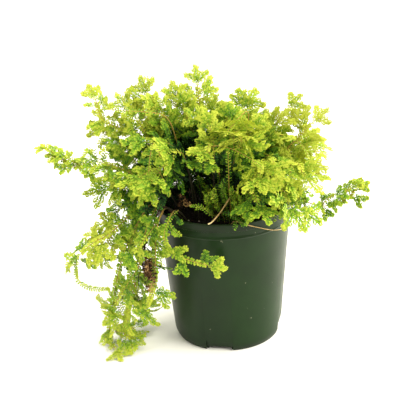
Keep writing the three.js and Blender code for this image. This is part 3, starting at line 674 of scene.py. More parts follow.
# Shoots that branch off a stem: where on it, the way to the tip, the number of side sprays, their size.
SHOOTS = {
    "left_arm": [
        (0.93, [(-138, -16, 174), (-143, -16, 177)], 1, 0.36),
        (0.8, [(-122, -18, 166), (-127, -18, 170)], 1, 0.36)],
    "right_arm": [
        (0.62, [(84, -20, 124), (92, -20, 129)], 2, 0.45),
        (0.8, [(100, -20, 130), (106, -20, 135)], 1, 0.4)],
    "top_left": [
        (0.6, [(-72, 4, 190), (-77, 2, 202)], 3, 0.6), (0.5, [(-62, -4, 182), (-68, -5, 196)], 3, 0.65)],
    "top_spray": [
        (0.5, [(-36, 10, 188), (-37, 8, 208)], 4, 0.62), (0.42, [(-44, 4, 182), (-48, 0, 200)], 4, 0.65),
        (0.6, [(-50, 4, 194), (-53, -2, 204)], 3, 0.55)],
    "top_crest": [
        (0.5, [(-26, 6, 186), (-29, 4, 203)], 4, 0.62), (0.5, [(-8, 14, 182), (-7, 12, 194)], 3, 0.6),
        (0.4, [(-14, 2, 170), (-18, -6, 188)], 3, 0.65)],
    "top_middle": [(0.6, [(8, 10, 178), (6, 8, 190)], 3, 0.6), (0.5, [(20, 4, 170), (27, 2, 184)], 3, 0.6)],
    "top_right": [(0.6, [(43, 2, 174), (46, 0, 184)], 3, 0.6), (0.5, [(30, 0, 164), (36, -6, 176)], 3, 0.6)],
    "right_upper": [(0.6, [(62, -12, 164), (68, -16, 172)], 3, 0.55)],
    "front_middle": [(0.55, [(-6, -30, 184), (-9, -30, 195)], 4, 0.6)],
    "front_high": [
        (0.55, [(10, -24, 186), (8, -22, 197)], 4, 0.6), (0.5, [(18, -26, 178), (25, -26, 190)], 3, 0.55)],
    "left_curled": [(0.6, [(-78, -2, 168), (-84, -6, 176)], 3, 0.55)],
    "left_middle": [(0.55, [(-72, -20, 150), (-82, -24, 144)], 3, 0.65)],
    "left_low": [(0.6, [(-72, -14, 132), (-86, -20, 124)], 3, 0.65)],
    "trailing_left": [
        (0.62, [(-98, -32, 97), (-101, -33, 89)], 3, 0.55),
        (0.78, [(-108, -37, 97), (-112, -38, 89)], 3, 0.5)],
    "trailing_long": [
        (0.84, [(-94, -32, 14), (-84, -36, 10)], 3, 0.65), (0.2, [(-76, -34, 104), (-80, -36, 92)], 3, 0.6)],
    "trailing_right": [
        (0.45, [(-59, -40, 88), (-55, -35, 79)], 3, 0.5), (0.3, [(-66, -50, 106), (-74, -52, 98)], 3, 0.55)],
    "trailing_inner": [
        (0.55, [(-84, -40, 62), (-92, -38, 50), (-95, -36, 42)], 4, 0.6),
        (0.7, [(-75, -27, 38), (-68, -22, 29)], 3, 0.55)],
}

# Unbranched tips that curl, each from the nearest place of its stem.
HOOKS = {
    "left_curled": [
        [(-97, 0, 183), (-98.5, -2, 191), (-93, -3, 195)],
        [(-97, -3, 181.5), (-100, -4, 178), (-100.5, -4, 172.5)],
        [(-90, 2, 186), (-92, 0, 192)]],
    "left_middle": [[(-94, -14, 175), (-99, -15, 172.5)], [(-86, -18, 150), (-92, -20, 143)]],
    "left_arm": [
        [(-131, -16, 169), (-138, -17, 175), (-144, -17, 180)], [(-120, -16, 165), (-126, -17, 171)],
        [(-104, -16, 174), (-108, -18, 176), (-112, -19, 171.5)], [(-108, -17, 165), (-113, -18, 161)],
        [(-96, -16, 168), (-99, -18, 172)]],
    "top_spray": [[(-58, 8, 222), (-56, 6, 226), (-60, 5, 227.5)]],
    "top_crest": [[(-30, 16, 208), (-35, 12, 219), (-39, 10, 219)]],
    "right_arm": [[(105, -20, 133), (111, -20, 140), (118, -20, 135)], [(69, -12, 131), (74, -12, 126)]],
    "left_low": [[(-90, -14, 136), (-95, -18, 128)], [(-82, -12, 138), (-86, -16, 146)]],
    "over_front": [
        [(-36, -44, 130.5), (-43, -51, 126), (-47.5, -56, 118), (-47, -59, 109), (-42, -60.5, 101)],
        [(-44, -52, 122), (-40, -58, 118), (-35, -62, 116)]],
    "trailing_inner": [[(-50, -30, 131), (-57, -36.5, 125), (-62, -41, 117)]],
    "trailing_left": [
        [(-122, -38, 90), (-125, -38, 80), (-124, -36, 66), (-114, -34, 58), (-100, -34, 57)],
        [(-122, -38, 90), (-128, -38, 86), (-131.5, -38, 82), (-131, -38, 77)]],
    "trailing_long": [
        [(-96, -26, 46), (-86, -38, 36), (-78, -42, 30)], [(-97, -26, 42), (-103, -30, 30), (-108, -32, 22)],
        [(-98, -24, 38), (-98, -38, 24), (-101, -42, 16)], [(-97, -24, 40), (-86, -40, 24), (-82, -44, 18)],
        [(-104, -28, 4), (-94, -34, 5), (-84, -38, 5)], [(-103, -32, 4), (-102, -38, 4.5), (-102, -43, 4)],
        [(-106, -18, 9), (-108, -30, 10), (-108, -38, 6)]],
}
# Those that are dry and brown.
DRY_HOOKS = {
    "right_hanging": [
        [(78, 6, 162), (81, 3, 156), (81.5, 2, 149), (80, 2, 140)],
        [(70, 4, 157), (72, 0, 152), (74.5, -2, 145), (73, -2, 136)]],
}

# Low shoots between the stems: root, way to the tip, and how many twigs each has.
UNDERGROWTH = [
    ((-4, -28), [(-9, -40, 122.5), (-14, -41, 127.5), (-19, -41, 131.5), (-26, -40, 132)], 2),
    ((4, -34), [(-2, -44, 127), (5, -50, 126), (10, -53, 125), (13, -57.5, 123.5), (14.5, -59.5, 121)], 3),
    ((-2, -20), [(-4, -23, 130), (-7, -26, 143)], 4),
    ((-6, -24), [(-9, -29, 126), (-12, -34, 136)], 4),
    ((2, -27), [(2, -31, 127), (1, -36, 137)], 5),
    ((5, -22), [(5, -26, 132), (3, -30, 146)], 5),
    ((8, -31), [(9, -37, 125), (8, -43, 133)], 4),
    ((10, -25), [(11, -31, 130), (11, -37, 140)], 5),
    ((14, -36), [(16, -42, 123), (17, -48, 124)], 4),
    ((15, -28), [(17, -35, 127), (19, -42, 133)], 5),
    ((20, -34), [(22, -42, 123), (24, -47, 124)], 4),
    ((25, -27), [(28, -35, 123), (31, -43, 124)], 4),
    ((33, -26), [(38, -33, 121), (44, -39, 122)], 5),
    ((38, -16), [(45, -22, 123), (53, -28, 123)], 5),
    ((1, -12), [(-1, -16, 134), (-3, -20, 152)], 5),
    ((10, -10), [(10, -15, 136), (9, -20, 154)], 5),
    ((-11, -12), [(-12, -15, 128), (-13, -18, 140)], 4),
    ((-2, -6), [(-4, -9, 132), (-8, -12, 148)], 5),
    ((-16, -4), [(-18, -7, 130), (-20, -10, 146)], 4),
    ((20, -14), [(22, -20, 135), (23, -26, 150)], 5),
    ((30, -10), [(34, -16, 134), (38, -22, 146)], 5),
    ((-6, -30), [(-12, -36, 127), (-14, -40, 140)], 6),
    ((0, -32), [(-6, -38, 130), (-9, -41, 143)], 6),
    ((3, -30), [(1, -37, 133), (-1, -42, 150)], 7),
    ((6, -30), [(8, -38, 130), (6, -43, 146)], 7),
    ((11, -32), [(14, -40, 128), (13, -45, 140)], 6),
    ((16, -31), [(20, -39, 128), (19, -45, 142)], 7),
    ((22, -30), [(27, -38, 126), (28, -45, 137)], 6),
    ((8, -38), [(9, -43, 124), (12, -47, 126)], 4),
    ((-24, 6), [(-28, 6, 134), (-30, 4, 152)], 7),
    ((-18, 10), [(-20, 12, 136), (-22, 12, 156)], 7),
    ((-12, 6), [(-13, 6, 134), (-14, 4, 150)], 7),
    ((-30, 12), [(-34, 12, 134), (-36, 10, 150)], 7),
    ((-8, 14), [(-8, 16, 136), (-8, 16, 158)], 7),
    ((-26, 18), [(-30, 20, 134), (-31, 20, 150)], 7),
    ((-2, 8), [(-1, 8, 134), (0, 6, 152)], 7),
]


def hollow(point):
    return any(np.linalg.norm((point - centre) / radii) < 1 for centre, radii in HOLLOWS)


def blocked(point):
    """True if a small frond here would be in the pot, under the surface it stands on, or in a hollow."""
    x, y, z = point
    clear = INFILL.clear
    return z < 1 or (z < POT_TOP + clear and math.hypot(x, y) < POT_LIP + clear) or hollow(point)


def infill(foliage, stem):
    """Smaller fronds between the sprays of a stem, which close the bush."""
    draw = foliage.random
    start, end = INFILL.start * stem.length, OPEN.get(stem.name, INFILL.end) * stem.length
    count = round((end - start) / INFILL.spacing)
    low, high = np.array(INFILL.low), np.array(INFILL.high)
    for index in range(count):
        along = (start + (index + draw.uniform(0.2, 0.8)) * (end - start) / count) / stem.length
        place, _ = stem.on(along)
        sag = aloft(place)
        trailing = stem.facing is face_trailing
        raised = INFILL.trailing if trailing else float(smoothstep(*INFILL.heights, place[2]))
        spray = {
            "along": along, "side": 1 if index % 2 else -1, "turn": draw.uniform(*INFILL.turn),
            "roll": draw.uniform(*INFILL.roll) * sag, "droop": draw.uniform(*INFILL.droop) * sag,
            "cup": INFILL.cup * sag, "size": stem.size * draw.uniform(*lerp(low, high, raised)),
            "lobes": 1 if draw.random() < INFILL.single - INFILL.forked * raised else 2,
        }
        spray["matrix"], reach = stem.matrix(spray), reach_of(spray)
        ends = placed(spray["matrix"], np.array([[reach / 2, 0, 0], [reach, 0, -spray["droop"]]]))
        if not any(blocked(end) for end in ends):
            grow_spray(foliage, stem, spray, INFILL.twigs)


def grow_stem(foliage, stem, part="stem", bare_to=SOIL_TOP + 6):
    """The stem itself, with the leaves that stand apart along it."""
    steps = max(8, round(stem.length / 3))
    shares = np.linspace(0, 1 - GROWTH.inset / stem.length, steps + 1)
    points = stem.route.along(shares)
    faces = np.array([stem.facing(point) for point in points])
    ahead = units(np.gradient(points, axis=0))
    faces = units(faces - np.sum(faces * ahead, axis=1, keepdims=True) * ahead)
    tones = np.array([tone_at(point) for point in points])
    foliage.tube(points, faces, lerp(*RADII[part], shares), 5, np.repeat(tones, 5), 1.0)
    bare = shares < 0.15 if stem.facing is face_trailing else points[:, 2] < bare_to
    bare |= np.array([hollow(point) for point in points])
    first = min(int(np.max(np.nonzero(bare)[0], initial=-1)) + 1, steps - 2)
    foliage.branchlet(
        points[first:], faces[first:], (0.8 * RADII[part][1],) * 2, leaf_length("stem", stem.size),
        PITCH["stem"], tones[first:], 0.0, 1.0, 0.3, template=LEAF, scales=True)


def grow_shoot(foliage, shoot):
    """A side shoot with its own sprays."""
    grow_stem(foliage, shoot, "shoot", 0)
    for spray in drawn_sprays(shoot):
        grow_spray(foliage, shoot, {**spray, "matrix": shoot.matrix(spray)}, 5)
    infill(foliage, shoot)


def followed(route, facing, steps):
    """Points along a route, and which way leaves face there."""
    points = route.along(np.linspace(0, 1, steps))
    return points, np.array([facing(point) for point in points])


def grow_comb(foliage, points, facing, kind, slim, tone, twigs=0, dry=0.0):
    """A slender shoot whose leaves stand apart like a comb's teeth, with short twigs of the same kind."""
    draw, leaf, route = foliage.random, LEAF_LENGTH[kind], Route(points)
    foliage.branchlet(
        *followed(route, facing, max(5, round(route.length / 2.5))), RADII["comb"], leaf, PITCH[kind], tone,
        0.05, 0.7, 0.6, template=LEAF, slim=slim, scales=True, dry=dry)
    for index in range(twigs):
        share = 0.35 + 0.6 * (index + draw.uniform(0.1, 0.5)) / twigs
        start, after = route.along(share), route.along(min(1, share + 0.05))
        turn = math.radians(draw.uniform(42, 60) * (1 if index % 2 else -1))
        ahead = rotated(unit(after - start), facing(start), turn)
        run = draw.uniform(9, 14) * (1.2 - 0.5 * share)
        twig = Route([start, start + 0.5 * run * ahead + [0, 0, 0.4], start + run * ahead - [0, 0, 1.2]])
        foliage.branchlet(
            twig.along(np.linspace(0, 1, 4)), np.tile(facing(start), (4, 1)), RADII["comb_twig"], 0.9 * leaf,
            PITCH["comb_twig"], tone + 0.06, 0.05, 0.4, 0.7, slim=0.66, dry=dry)


def nearest_on(stem, place):
    points = stem.route.along(np.linspace(0, 1, 101))
    return points[np.argmin(np.linalg.norm(points - place, axis=1))]


def grow_side_shoots(foliage, stem):
    for index, (share, way, sprays, size) in enumerate(SHOOTS.get(stem.name, [])):
        start = stem.route.along(share)
        points = [start, start + stem.on(share)[1] * 6, *way]
        grow_shoot(foliage, Stem("shoot", stem.seed * 10 + index, points, sprays, size, stem.facing))
    for hooks, dry in ((HOOKS, 0.0), (DRY_HOOKS, 0.75)):
        for way in hooks.get(stem.name, []):
            points = [nearest_on(stem, way[0]), *way]
            grow_comb(foliage, points, stem.facing, "comb", 0.74, tone_at(np.array(way[-1])), dry=dry)


# Long thin stems that arch over the bush, with leaves far apart.
RUNNERS = [
    [(-2, -20, 150), (-10, -38, 176), (-5, -46, 183), (8, -52, 182), (20, -56, 176), (31, -58, 168)],
    [(-34, 4, 160), (-42, -16, 198), (-60, -18, 205), (-80, -14, 206), (-93, -10, 208)],
    [(-44, -30, 150), (-51, -44, 186), (-55, -50, 179), (-58, -50, 160)],
    [(18, -10, 160), (22, -32, 200), (20, -37, 207), (11, -43, 200), (3, -48, 192)],
    [(6, -24, 116), (5, -33, 142), (5, -38, 160), (5, -41, 178)],
    [(44, -8, 150), (58, -20, 176), (66, -26, 172), (72, -28, 160)],
]


def make_runners():
    foliage = Foliage(78)
    for way in RUNNERS:
        route = Route(way)
        points, faces = followed(route, face_outwards, round(route.length / 3))
        foliage.tube(points, faces, np.linspace(*RADII["runner"], len(points)), 5, 0.8, 1.0)
        late = len(points) // 3
        foliage.branchlet(
            points[late:], faces[late:], RADII["runner_leaves"], LEAF_LENGTH["runner"], PITCH["runner"], 0.6,
            0.0, 1.0, 0.5, template=LEAF, slim=0.7, scales=True)
    return foliage.mesh("runners")


def make_undergrowth():
    foliage = Foliage(77)
    for (x, y), way, twigs in UNDERGROWTH:
        # Painted light and shade: those in front get lighter tones against the shade they stand in, and those
        # behind the middle are painted much darker.
        tone = lerp(0.32, 0.62, foliage.random.random()) * (0.3 if y > 0 else 1)
        grow_comb(foliage, rooted(x, y, way)[1:], face_front, "low_comb", 0.62, tone, twigs)
    return foliage.mesh("undergrowth")


# ---------------- pot

POT = Values(
    height=POT_TOP, lip=POT_LIP, lip_height=6.5, lip_inner=54.6, groove=56, ridge=57.2,
    ridge_top=110, ridge_bottom=107.6, body_top=56.3, body_foot=47.6, foot=4,
    base=46, wall=1.5, floor=2.2)
DRAIN = Values(
    count=4, azimuth=260, width=23, slant=22, depth=3.4, slot=20, slot_height=2.6,
    reach=9, cutter=20)
DRAIN_AZIMUTHS = [DRAIN.azimuth + 360 * drain / DRAIN.count for drain in range(DRAIN.count)]


def linked(name, data):
    """A new object in the scene."""
    made = bpy.data.objects.new(name, data)
    bpy.context.scene.collection.objects.link(made)
    return made


def solid(name, shape):
    mesh = bpy.data.meshes.new(name)
    shape.to_mesh(mesh)
    shape.free()
    return linked(name, mesh)


def filleted(corners, steps=5):
    """Profile whose corners (radius, height, fillet) are rounded."""
    out = []
    for index, (x, z, radius) in enumerate(corners):
        here = np.array([x, z], float)
        before = np.array(corners[index - 1][:2], float)
        after = np.array(corners[(index + 1) % len(corners)][:2], float)
        if not radius:
            out.append(here)
            continue
        starts = [
            here + (other - here) * min(radius / np.linalg.norm(other - here), 0.45)
            for other in (before, after)]
        for t in np.linspace(0, 1, steps):
            out.append((1 - t) ** 2 * starts[0] + 2 * t * (1 - t) * here + t * t * starts[1])
    return out


def turned(name, corners, segments=144):
    """Solid of revolution about +Z of a profile that starts and ends on the axis."""
    shape = bmesh.new()
    rings = []
    for x, z in filleted(corners):
        turns = [2 * math.pi * i / segments for i in range(segments)] if x > 0 else [0]
        rings.append([shape.verts.new((x * math.cos(a) * MM, x * math.sin(a) * MM, z * MM)) for a in turns])
    for low, high in zip(rings, rings[1:]):
        for i in range(segments):
            j = (i + 1) % segments
            corners = [low[i % len(low)], low[j % len(low)], high[j % len(high)], high[i % len(high)]]
            shape.faces.new(list(dict.fromkeys(corners)))
    bmesh.ops.recalc_face_normals(shape, faces=shape.faces)
    return solid(name, shape)


def boxes(name, size, placings):
    """Boxes of one size, one at each placing."""
    shape = bmesh.new()
    for placing in placings:
        made = bmesh.ops.create_cube(shape, size=1, matrix=Matrix.Diagonal((*[v * MM for v in size], 1)))
        bmesh.ops.transform(shape, matrix=placing, verts=made["verts"])
    return solid(name, shape)


def around(radius, height, azimuth, tilt=0.0):
    turn = Matrix.Rotation(math.radians(azimuth), 4, "Z")
    lean = Matrix.Rotation(math.radians(tilt), 4, "Y")
    return turn @ Matrix.Translation((radius * MM, 0, height * MM)) @ lean


def drain_cutters(inwards):
    slant, cutter = math.radians(DRAIN.slant), DRAIN.cutter
    radius = POT.base - DRAIN.depth - inwards / math.cos(slant) + cutter / 2 * math.cos(slant)
    height = -cutter / 2 * math.sin(slant)
    return boxes(
        "cutter", (cutter, DRAIN.width + 2 * inwards, 2.4 * cutter),
        [around(radius, height, azimuth, DRAIN.slant) for azimuth in DRAIN_AZIMUTHS])


def cut(piece, tool):
    """Takes the tool away from the piece, and removes the tool."""
    modifier = piece.modifiers.new("cut", "BOOLEAN")
    modifier.operation, modifier.object, modifier.solver = "DIFFERENCE", tool, "EXACT"
    bpy.context.view_layer.update()
    mesh = bpy.data.meshes.new_from_object(piece.evaluated_get(bpy.context.evaluated_depsgraph_get()))
    piece.modifiers.clear()
    piece.data = mesh
    bpy.data.objects.remove(tool)


def inner_radius(z):
    share = (z - POT.foot) / (POT.ridge_bottom - POT.foot)
    return lerp(POT.body_foot, POT.body_top, share) - POT.wall


def make_pot():
    top, under = POT.height, POT.height - POT.lip_height
    bottom, middle = POT.ridge_bottom, (POT.ridge_bottom + POT.ridge_top) / 2
    body = turned("pot_shell", [
        (0, 0, 0), (POT.base, 0, 0.7), (POT.body_foot, POT.foot, 3), (POT.body_top, bottom, 0.6),
        (POT.ridge, middle, 0.7), (POT.groove, POT.ridge_top, 0.6), (POT.groove, under, 0.4),
        (POT.lip, under, 0.5), (POT.lip, top, 1.1), (POT.lip_inner, top, 0.9),
        (POT.lip_inner, top - 2, 0), (0, top - 2, 0)])
    cavity = turned("cavity", [
        (0, POT.floor, 0), (inner_radius(POT.floor), POT.floor, 1.5),
        (inner_radius(bottom), bottom, 0), (POT.lip_inner, under, 0), (POT.lip_inner, top + 1, 0),
        (0, top + 1, 0)])
    cut(body, drain_cutters(0))
    cut(cavity, drain_cutters(POT.wall))
    cut(body, cavity)
    cut(body, boxes(
        "slots", (2 * DRAIN.reach, DRAIN.slot, 2 * DRAIN.slot_height),
        [around(POT.base, 0, azimuth) for azimuth in DRAIN_AZIMUTHS]))
    mesh = body.data
    bpy.data.objects.remove(body)
    mesh.name = "pot_shell"
    mesh.shade_smooth()
    mesh.set_sharp_from_angle(angle=math.radians(32))
    return mesh


# ---------------- soil

SOIL = Values(
    top=SOIL_TOP, crown=1.5, edge=54.3, rough=1.1, low=0.3, rings=44, segments=132,
    sides=[(54.2, 107.6), (46.4, 14), (39.5, 2.5)])
# Crumbs of soil, bark and perlite: how many, their size, how slim they are, and their tone.
CRUMBS = [
    (1500, (0.5, 1.6), (0.7, 1.0), 0.0), (260, (1.5, 4.5), (0.25, 0.5), 0.5),
    (16, (1.2, 2.4), (0.7, 1.0), 1.0)]


def soil_height(x, y):
    """Height of the crumbly surface, which is level with the frame's low mound."""
    mound = SOIL.crown * (1 - (x * x + y * y) / SOIL.edge ** 2)
    rough = noise.fractal(Vector((x, y, 0)) * 0.22, 0.7, 2.1, 5)
    return SOIL.top + mound + SOIL.rough * rough - SOIL.low


def make_soil():
    soil = Foliage(3)
    draw, count = soil.random, SOIL.segments
    turns = 2 * np.pi * np.arange(count) / count
    circle = np.column_stack([np.cos(turns), np.sin(turns)])
    rings = []
    for radius in np.linspace(0.5, SOIL.edge, SOIL.rings):
        flat = circle * radius
        rings.append(np.column_stack([flat, [soil_height(x, y) for x, y in flat]]))
    for radius, height in SOIL.sides:
        rings.append(np.column_stack([circle * radius, np.full(count, height)]))
    middle, last = len(rings) * count, (len(rings) - 1) * count
    here = np.arange(count)
    after = (here + 1) % count
    ends = [
        np.column_stack([here, after, np.full(count, middle)]),
        np.column_stack([last + after, last + here, np.full(count, middle + 1)])]
    corners = np.vstack([*rings, [(0, 0, soil_height(0, 0))], [(0, 0, SOIL.sides[-1][1])]])
    soil.add(corners, np.vstack([walls(len(rings), count), *ends]), 0.1, 0.0, 0.0, 0.5)

    for many, sizes, slim, tone in CRUMBS:
        for _ in range(many):
            radius, turn = (SOIL.edge - 3) * math.sqrt(draw.random()), draw.uniform(0, 2 * math.pi)
            x, y = radius * math.cos(turn), radius * math.sin(turn)
            lump = crumb(draw, (x, y, soil_height(x, y)), draw.uniform(*sizes), draw.uniform(*slim))
            soil.add(*lump, tone + draw.uniform(0, 0.3), 0.0, 0.0, draw.random())
    return soil.mesh("soil_crumbs")


def crumb(draw, place, size, slim):
    """A small angular lump: an octahedron whose corners wander."""
    corners = np.array([(1, 0, 0), (-1, 0, 0), (0, 1, 0), (0, -1, 0), (0, 0, 1), (0, 0, -1)], float)
    corners = corners * draw.uniform(0.7, 1.2, (6, 3)) * [size / 2, size / 2 * slim, size / 2 * slim]
    corners += draw.normal(0, 0.08 * size, (6, 3))
    turn = Matrix.Rotation(draw.uniform(0, 2 * math.pi), 3, "Z")
    turn = turn @ Matrix.Rotation(draw.normal(0, 0.4), 3, "Y")
    faces = np.array([
        (0, 2, 4), (2, 1, 4), (1, 3, 4), (3, 0, 4), (2, 0, 5), (1, 2, 5), (3, 1, 5), (0, 3, 5)])
    return corners @ np.array(turn).T + place + [0, 0, 0.2 * size], faces


# ---------------- bare and dead pieces

# Where on the dead stem each rootlet starts, and two places on its way from there.
ROOTLETS = [
    (0.8, (-5, 1, -7), (-8, 2, -17)), (0.87, (5, -1, -6), (5, 1, -18)), (0.95, (-4, -1, -7), (-5, 0, -18)),
    (0.99, (1, 1, -9), (-1, 2, -20))]
BARE_RADII = {"withered_stem": (0.9, 0.6), "cut_stem": (0.55, 0.72), "rhizophore": (0.45, 0.3)}
BARE_FACE = np.array([0.2, -0.6, 0.8])
WITHERED = Values(
    count=26, start=0.84, drop=(6, 23), out=(2.0, 4.5), leaf=(2.6, 3.8), tones=(0.05, 0.8))
LITTER = Values(
    count=12, place=np.array([-32.5, -27.0, 132.0]), spread=np.array([3.4, 2.5, 5.0]),
    length=(3, 9), bend=2.4, leaf=(2.0, 3.2), tones=[0.3, 0.7, 0.9, 1.0])


def bare_tube(piece, route, radii, tone, lumps=0.0, sides=8):
    """A leafless stem or root: a tube with swollen nodes."""
    shares = np.linspace(0, 1, max(8, round(route.length / 1.6)))
    widths = np.linspace(*radii, len(shares))
    widths = widths * (1 - lumps + lumps * 2 * np.abs(np.sin(shares * route.length / 5)) ** 6)
    widths = widths * (1 + 0.05 * piece.random.normal(0, 1, len(shares)))
    piece.tube(route.along(shares), np.tile(unit(BARE_FACE), (len(shares), 1)), widths, sides, tone, 1.0)


def make_bare(name):
    x, y, way = BARE[name]
    piece = Foliage(len(name))
    route = Route(rooted(x, y, way))
    bare_tube(piece, route, [0.85 * radius for radius in BARE_RADII[name]], 0.5, 0.12)
    if name == "withered_stem":
        wither(piece, route)
    return piece.mesh(name + "_bark")


def dead_frond(piece, kind, points, steps, face, leaf, tone):
    points = Route(points).along(np.linspace(0, 1, steps))
    piece.branchlet(
        points, np.tile(unit(face), (steps, 1)), RADII[kind], leaf, PITCH[kind], tone, 0.0, 0.0, 0.4,
        shrivel=1.0)


def wither(piece, route):
    """Shrivelled fronds that hang from the end of the dead stem, and its rootlets."""
    draw = piece.random
    for along, *offsets in ROOTLETS:
        place = route.along(along)
        rootlet = Route([place, *(place + offset for offset in offsets)])
        bare_tube(piece, rootlet, RADII["rootlet"], 0.2, 0, 4)
    for index in range(WITHERED.count):
        place = route.along(lerp(WITHERED.start, 1.0, (index + draw.random()) / WITHERED.count))
        turn, drop = draw.uniform(0, 2 * math.pi), draw.uniform(*WITHERED.drop)
        out = np.array([1.7 + 0.9 * math.cos(turn), math.sin(turn) - 0.9, 0]) * draw.uniform(*WITHERED.out)
        points = [place, place + out + [0, 0, -0.3 * drop], place + 0.55 * out + [0, 0, -drop]]
        dead_frond(
            piece, "withered", points, 6, np.cross(out, [0, 0, 1]) + draw.normal(0, 0.3, 3),
            draw.uniform(*WITHERED.leaf), draw.uniform(*WITHERED.tones))


def make_litter():
    """Dead fronds caught between the stems, above the soil."""
    litter = Foliage(17)
    draw = litter.random
    for _ in range(LITTER.count):
        foot = LITTER.place + draw.normal(0, 1, 3) * LITTER.spread
        lean = draw.normal(0, 0.5, 3) + [0, 0, 1.0]
        tip = foot + unit(lean) * draw.uniform(*LITTER.length)
        side = draw.normal(0, LITTER.bend, 3)
        dead_frond(
            litter, "litter", [foot, (foot + tip) / 2 + side, tip], 7, draw.normal(0, 1, 3) + [0, -1, 0.3],
            draw.uniform(*LITTER.leaf), draw.choice(LITTER.tones))
    return litter.mesh("dead_fronds")


# ---------------- materials

def linear(red, green, blue):
    """Scene colour of an sRGB colour given from 0 to 255."""
    def one(value):
        value /= 255
        return value / 12.92 if value <= 0.04045 else ((value + 0.055) / 1.055) ** 2.4
    return (one(red), one(green), one(blue), 1)


class Nodes:
    """Builds one material's nodes. Colours of three numbers are sRGB, from 0 to 255."""

    def __init__(self, name):
        self.material = bpy.data.materials.new(name)
        self.material.use_nodes = True
        self.tree = self.material.node_tree

    def node(self, kind, settings=None, **inputs):
        node = self.tree.nodes.new("ShaderNode" + kind)
        for key, value in (settings or {}).items():
            setattr(node, key, value)
        return self.put(node, **inputs)

    def put(self, node, **inputs):
        """Sets or links inputs, by their name or by an underscore and their number."""
        for key, value in inputs.items():
            socket = node.inputs[int(key[1:]) if key[0] == "_" else key.replace("_", " ")]
            if isinstance(value, bpy.types.NodeSocket):
                self.tree.links.new(value, socket)
            else:
                socket.default_value = linear(*value) if isinstance(value, tuple) else value
        return node

    def mark(self, name):
        return self.node("Attribute", {"attribute_name": name}).outputs["Fac"]

    def object_place(self):
        return self.node("TexCoord").outputs["Object"]

    def noise(self, scale, detail, rough=0.5, place=None):
        place = place or self.object_place()
        return self.node("TexNoise", Vector=place, Scale=scale, Detail=detail, Roughness=rough).outputs["Fac"]

    def ramp(self, fac, *stops):
        node = self.node("ValToRGB", Fac=fac)
        elements = node.color_ramp.elements
        while len(elements) < len(stops):
            elements.new(0.5)
        for element, (at, colour) in zip(elements, stops):
            element.position = at
            element.color = linear(*colour) if isinstance(colour, tuple) else (colour, colour, colour, 1)
        return node.outputs["Color"]

    def math(self, operation, a, b, clamp=False):
        return self.node("Math", {"operation": operation, "use_clamp": clamp}, _0=a, _1=b).outputs[0]

    def varied(self, tone, mark, amount, clamp=False):
        """The tone, raised or lowered by a mark that goes from 0 to 1."""
        change = self.math("MULTIPLY", self.math("SUBTRACT", mark, 0.5), amount)
        return self.math("ADD", tone, change, clamp)

    def band(self, value, start, end):
        """0 at the start, 1 at the end and beyond it."""
        return self.node("MapRange", Value=value, From_Min=start, From_Max=end).outputs[0]

    def mix(self, fac, a, b):
        return self.node("Mix", {"data_type": "RGBA"}, _0=fac, _6=a, _7=b).outputs[2]

    def bump(self, height, strength, distance):
        return self.node("Bump", Height=height, Strength=strength, Distance=distance).outputs["Normal"]

    def finish(self, **inputs):
        self.put(self.tree.nodes["Principled BSDF"], **inputs)
        return self.material


def leaf_material():
    nodes = Nodes("leaf")
    tone = nodes.varied(nodes.mark("tone"), nodes.mark("fleck"), 0.3)
    tone = nodes.varied(tone, nodes.mark("along"), 0.26, clamp=True)
    leaf = nodes.ramp(
        tone, (0.0, (12, 29, 17)), (0.25, (33, 66, 26)), (0.5, (69, 118, 28)), (0.75, (127, 163, 36)),
        (1.0, (181, 191, 62)))
    bark = nodes.ramp(nodes.noise(900, 2), (0.3, (128, 122, 46)), (0.6, (176, 138, 70)))
    # Stems go near black where their tone is low, so they carry the painted shade of the foliage's tone.
    wood = nodes.mix(nodes.ramp(nodes.mark("tone"), (0.2, 0.0), (0.6, 1.0)), (32, 30, 15), bark)
    cells = nodes.noise(2600, 2)
    return nodes.finish(
        Base_Color=nodes.mix(nodes.mark("woody"), leaf, wood),
        Roughness=nodes.ramp(cells, (0.2, 0.5), (0.8, 0.65)), Normal=nodes.bump(cells, 0.12, 0.0003),
        Specular_IOR_Level=0.15)


def plastic_material():
    """Dull green plastic: dark dust that paints shade at the lip, a darker foot, and a few pale scuffs."""
    nodes = Nodes("pot_plastic")
    place = nodes.object_place()
    height = nodes.node("SeparateXYZ", _0=place).outputs[2]
    green = nodes.ramp(nodes.noise(22, 4, 0.6, place), (0.3, (9, 31, 4)), (0.7, (15, 42, 6)))
    lip, foot = nodes.band(height, 0.1135, 0.1150), nodes.band(height, 0.008, 0.002)
    patches = nodes.ramp(nodes.noise(120, 5, 0.7, place), (0.35, 0.1), (0.7, 0.7))
    # Dust and painted shade: the lip's dust is near black, so it also paints the shade that falls on the lip.
    dust_and_painted_shade = nodes.math("MULTIPLY", nodes.math("ADD", lip, foot, clamp=True), patches)
    scuffs = nodes.ramp(nodes.noise(210, 3, 0.6, place), (0.715, 0.0), (0.75, 0.55))
    return nodes.finish(
        Base_Color=nodes.mix(scuffs, nodes.mix(dust_and_painted_shade, green, (17, 20, 12)), (150, 150, 126)),
        Roughness=nodes.ramp(nodes.noise(60, 4, 0.6, place), (0.3, 0.34), (0.7, 0.44)),
        Normal=nodes.bump(nodes.noise(1500, 2, 0.5, place), 0.08, 0.0002), Specular_IOR_Level=0.2)


def soil_material():
    nodes = Nodes("soil")
    grain, tone = nodes.noise(700, 5, 0.7), nodes.mark("tone")
    earth = nodes.ramp(grain, (0.35, (9, 6, 5)), (0.6, (24, 16, 12)), (0.75, (46, 31, 22)))
    lumps = nodes.ramp(
        tone, (0.3, (14, 9, 6)), (0.5, (32, 20, 13)), (0.8, (64, 41, 26)), (0.98, (190, 182, 166)))
    return nodes.finish(
        Base_Color=nodes.mix(nodes.ramp(tone, (0.3, 0.0), (0.5, 1.0)), earth, lumps), Roughness=0.95,
        Normal=nodes.bump(grain, 0.8, 0.001), Specular_IOR_Level=0.2)


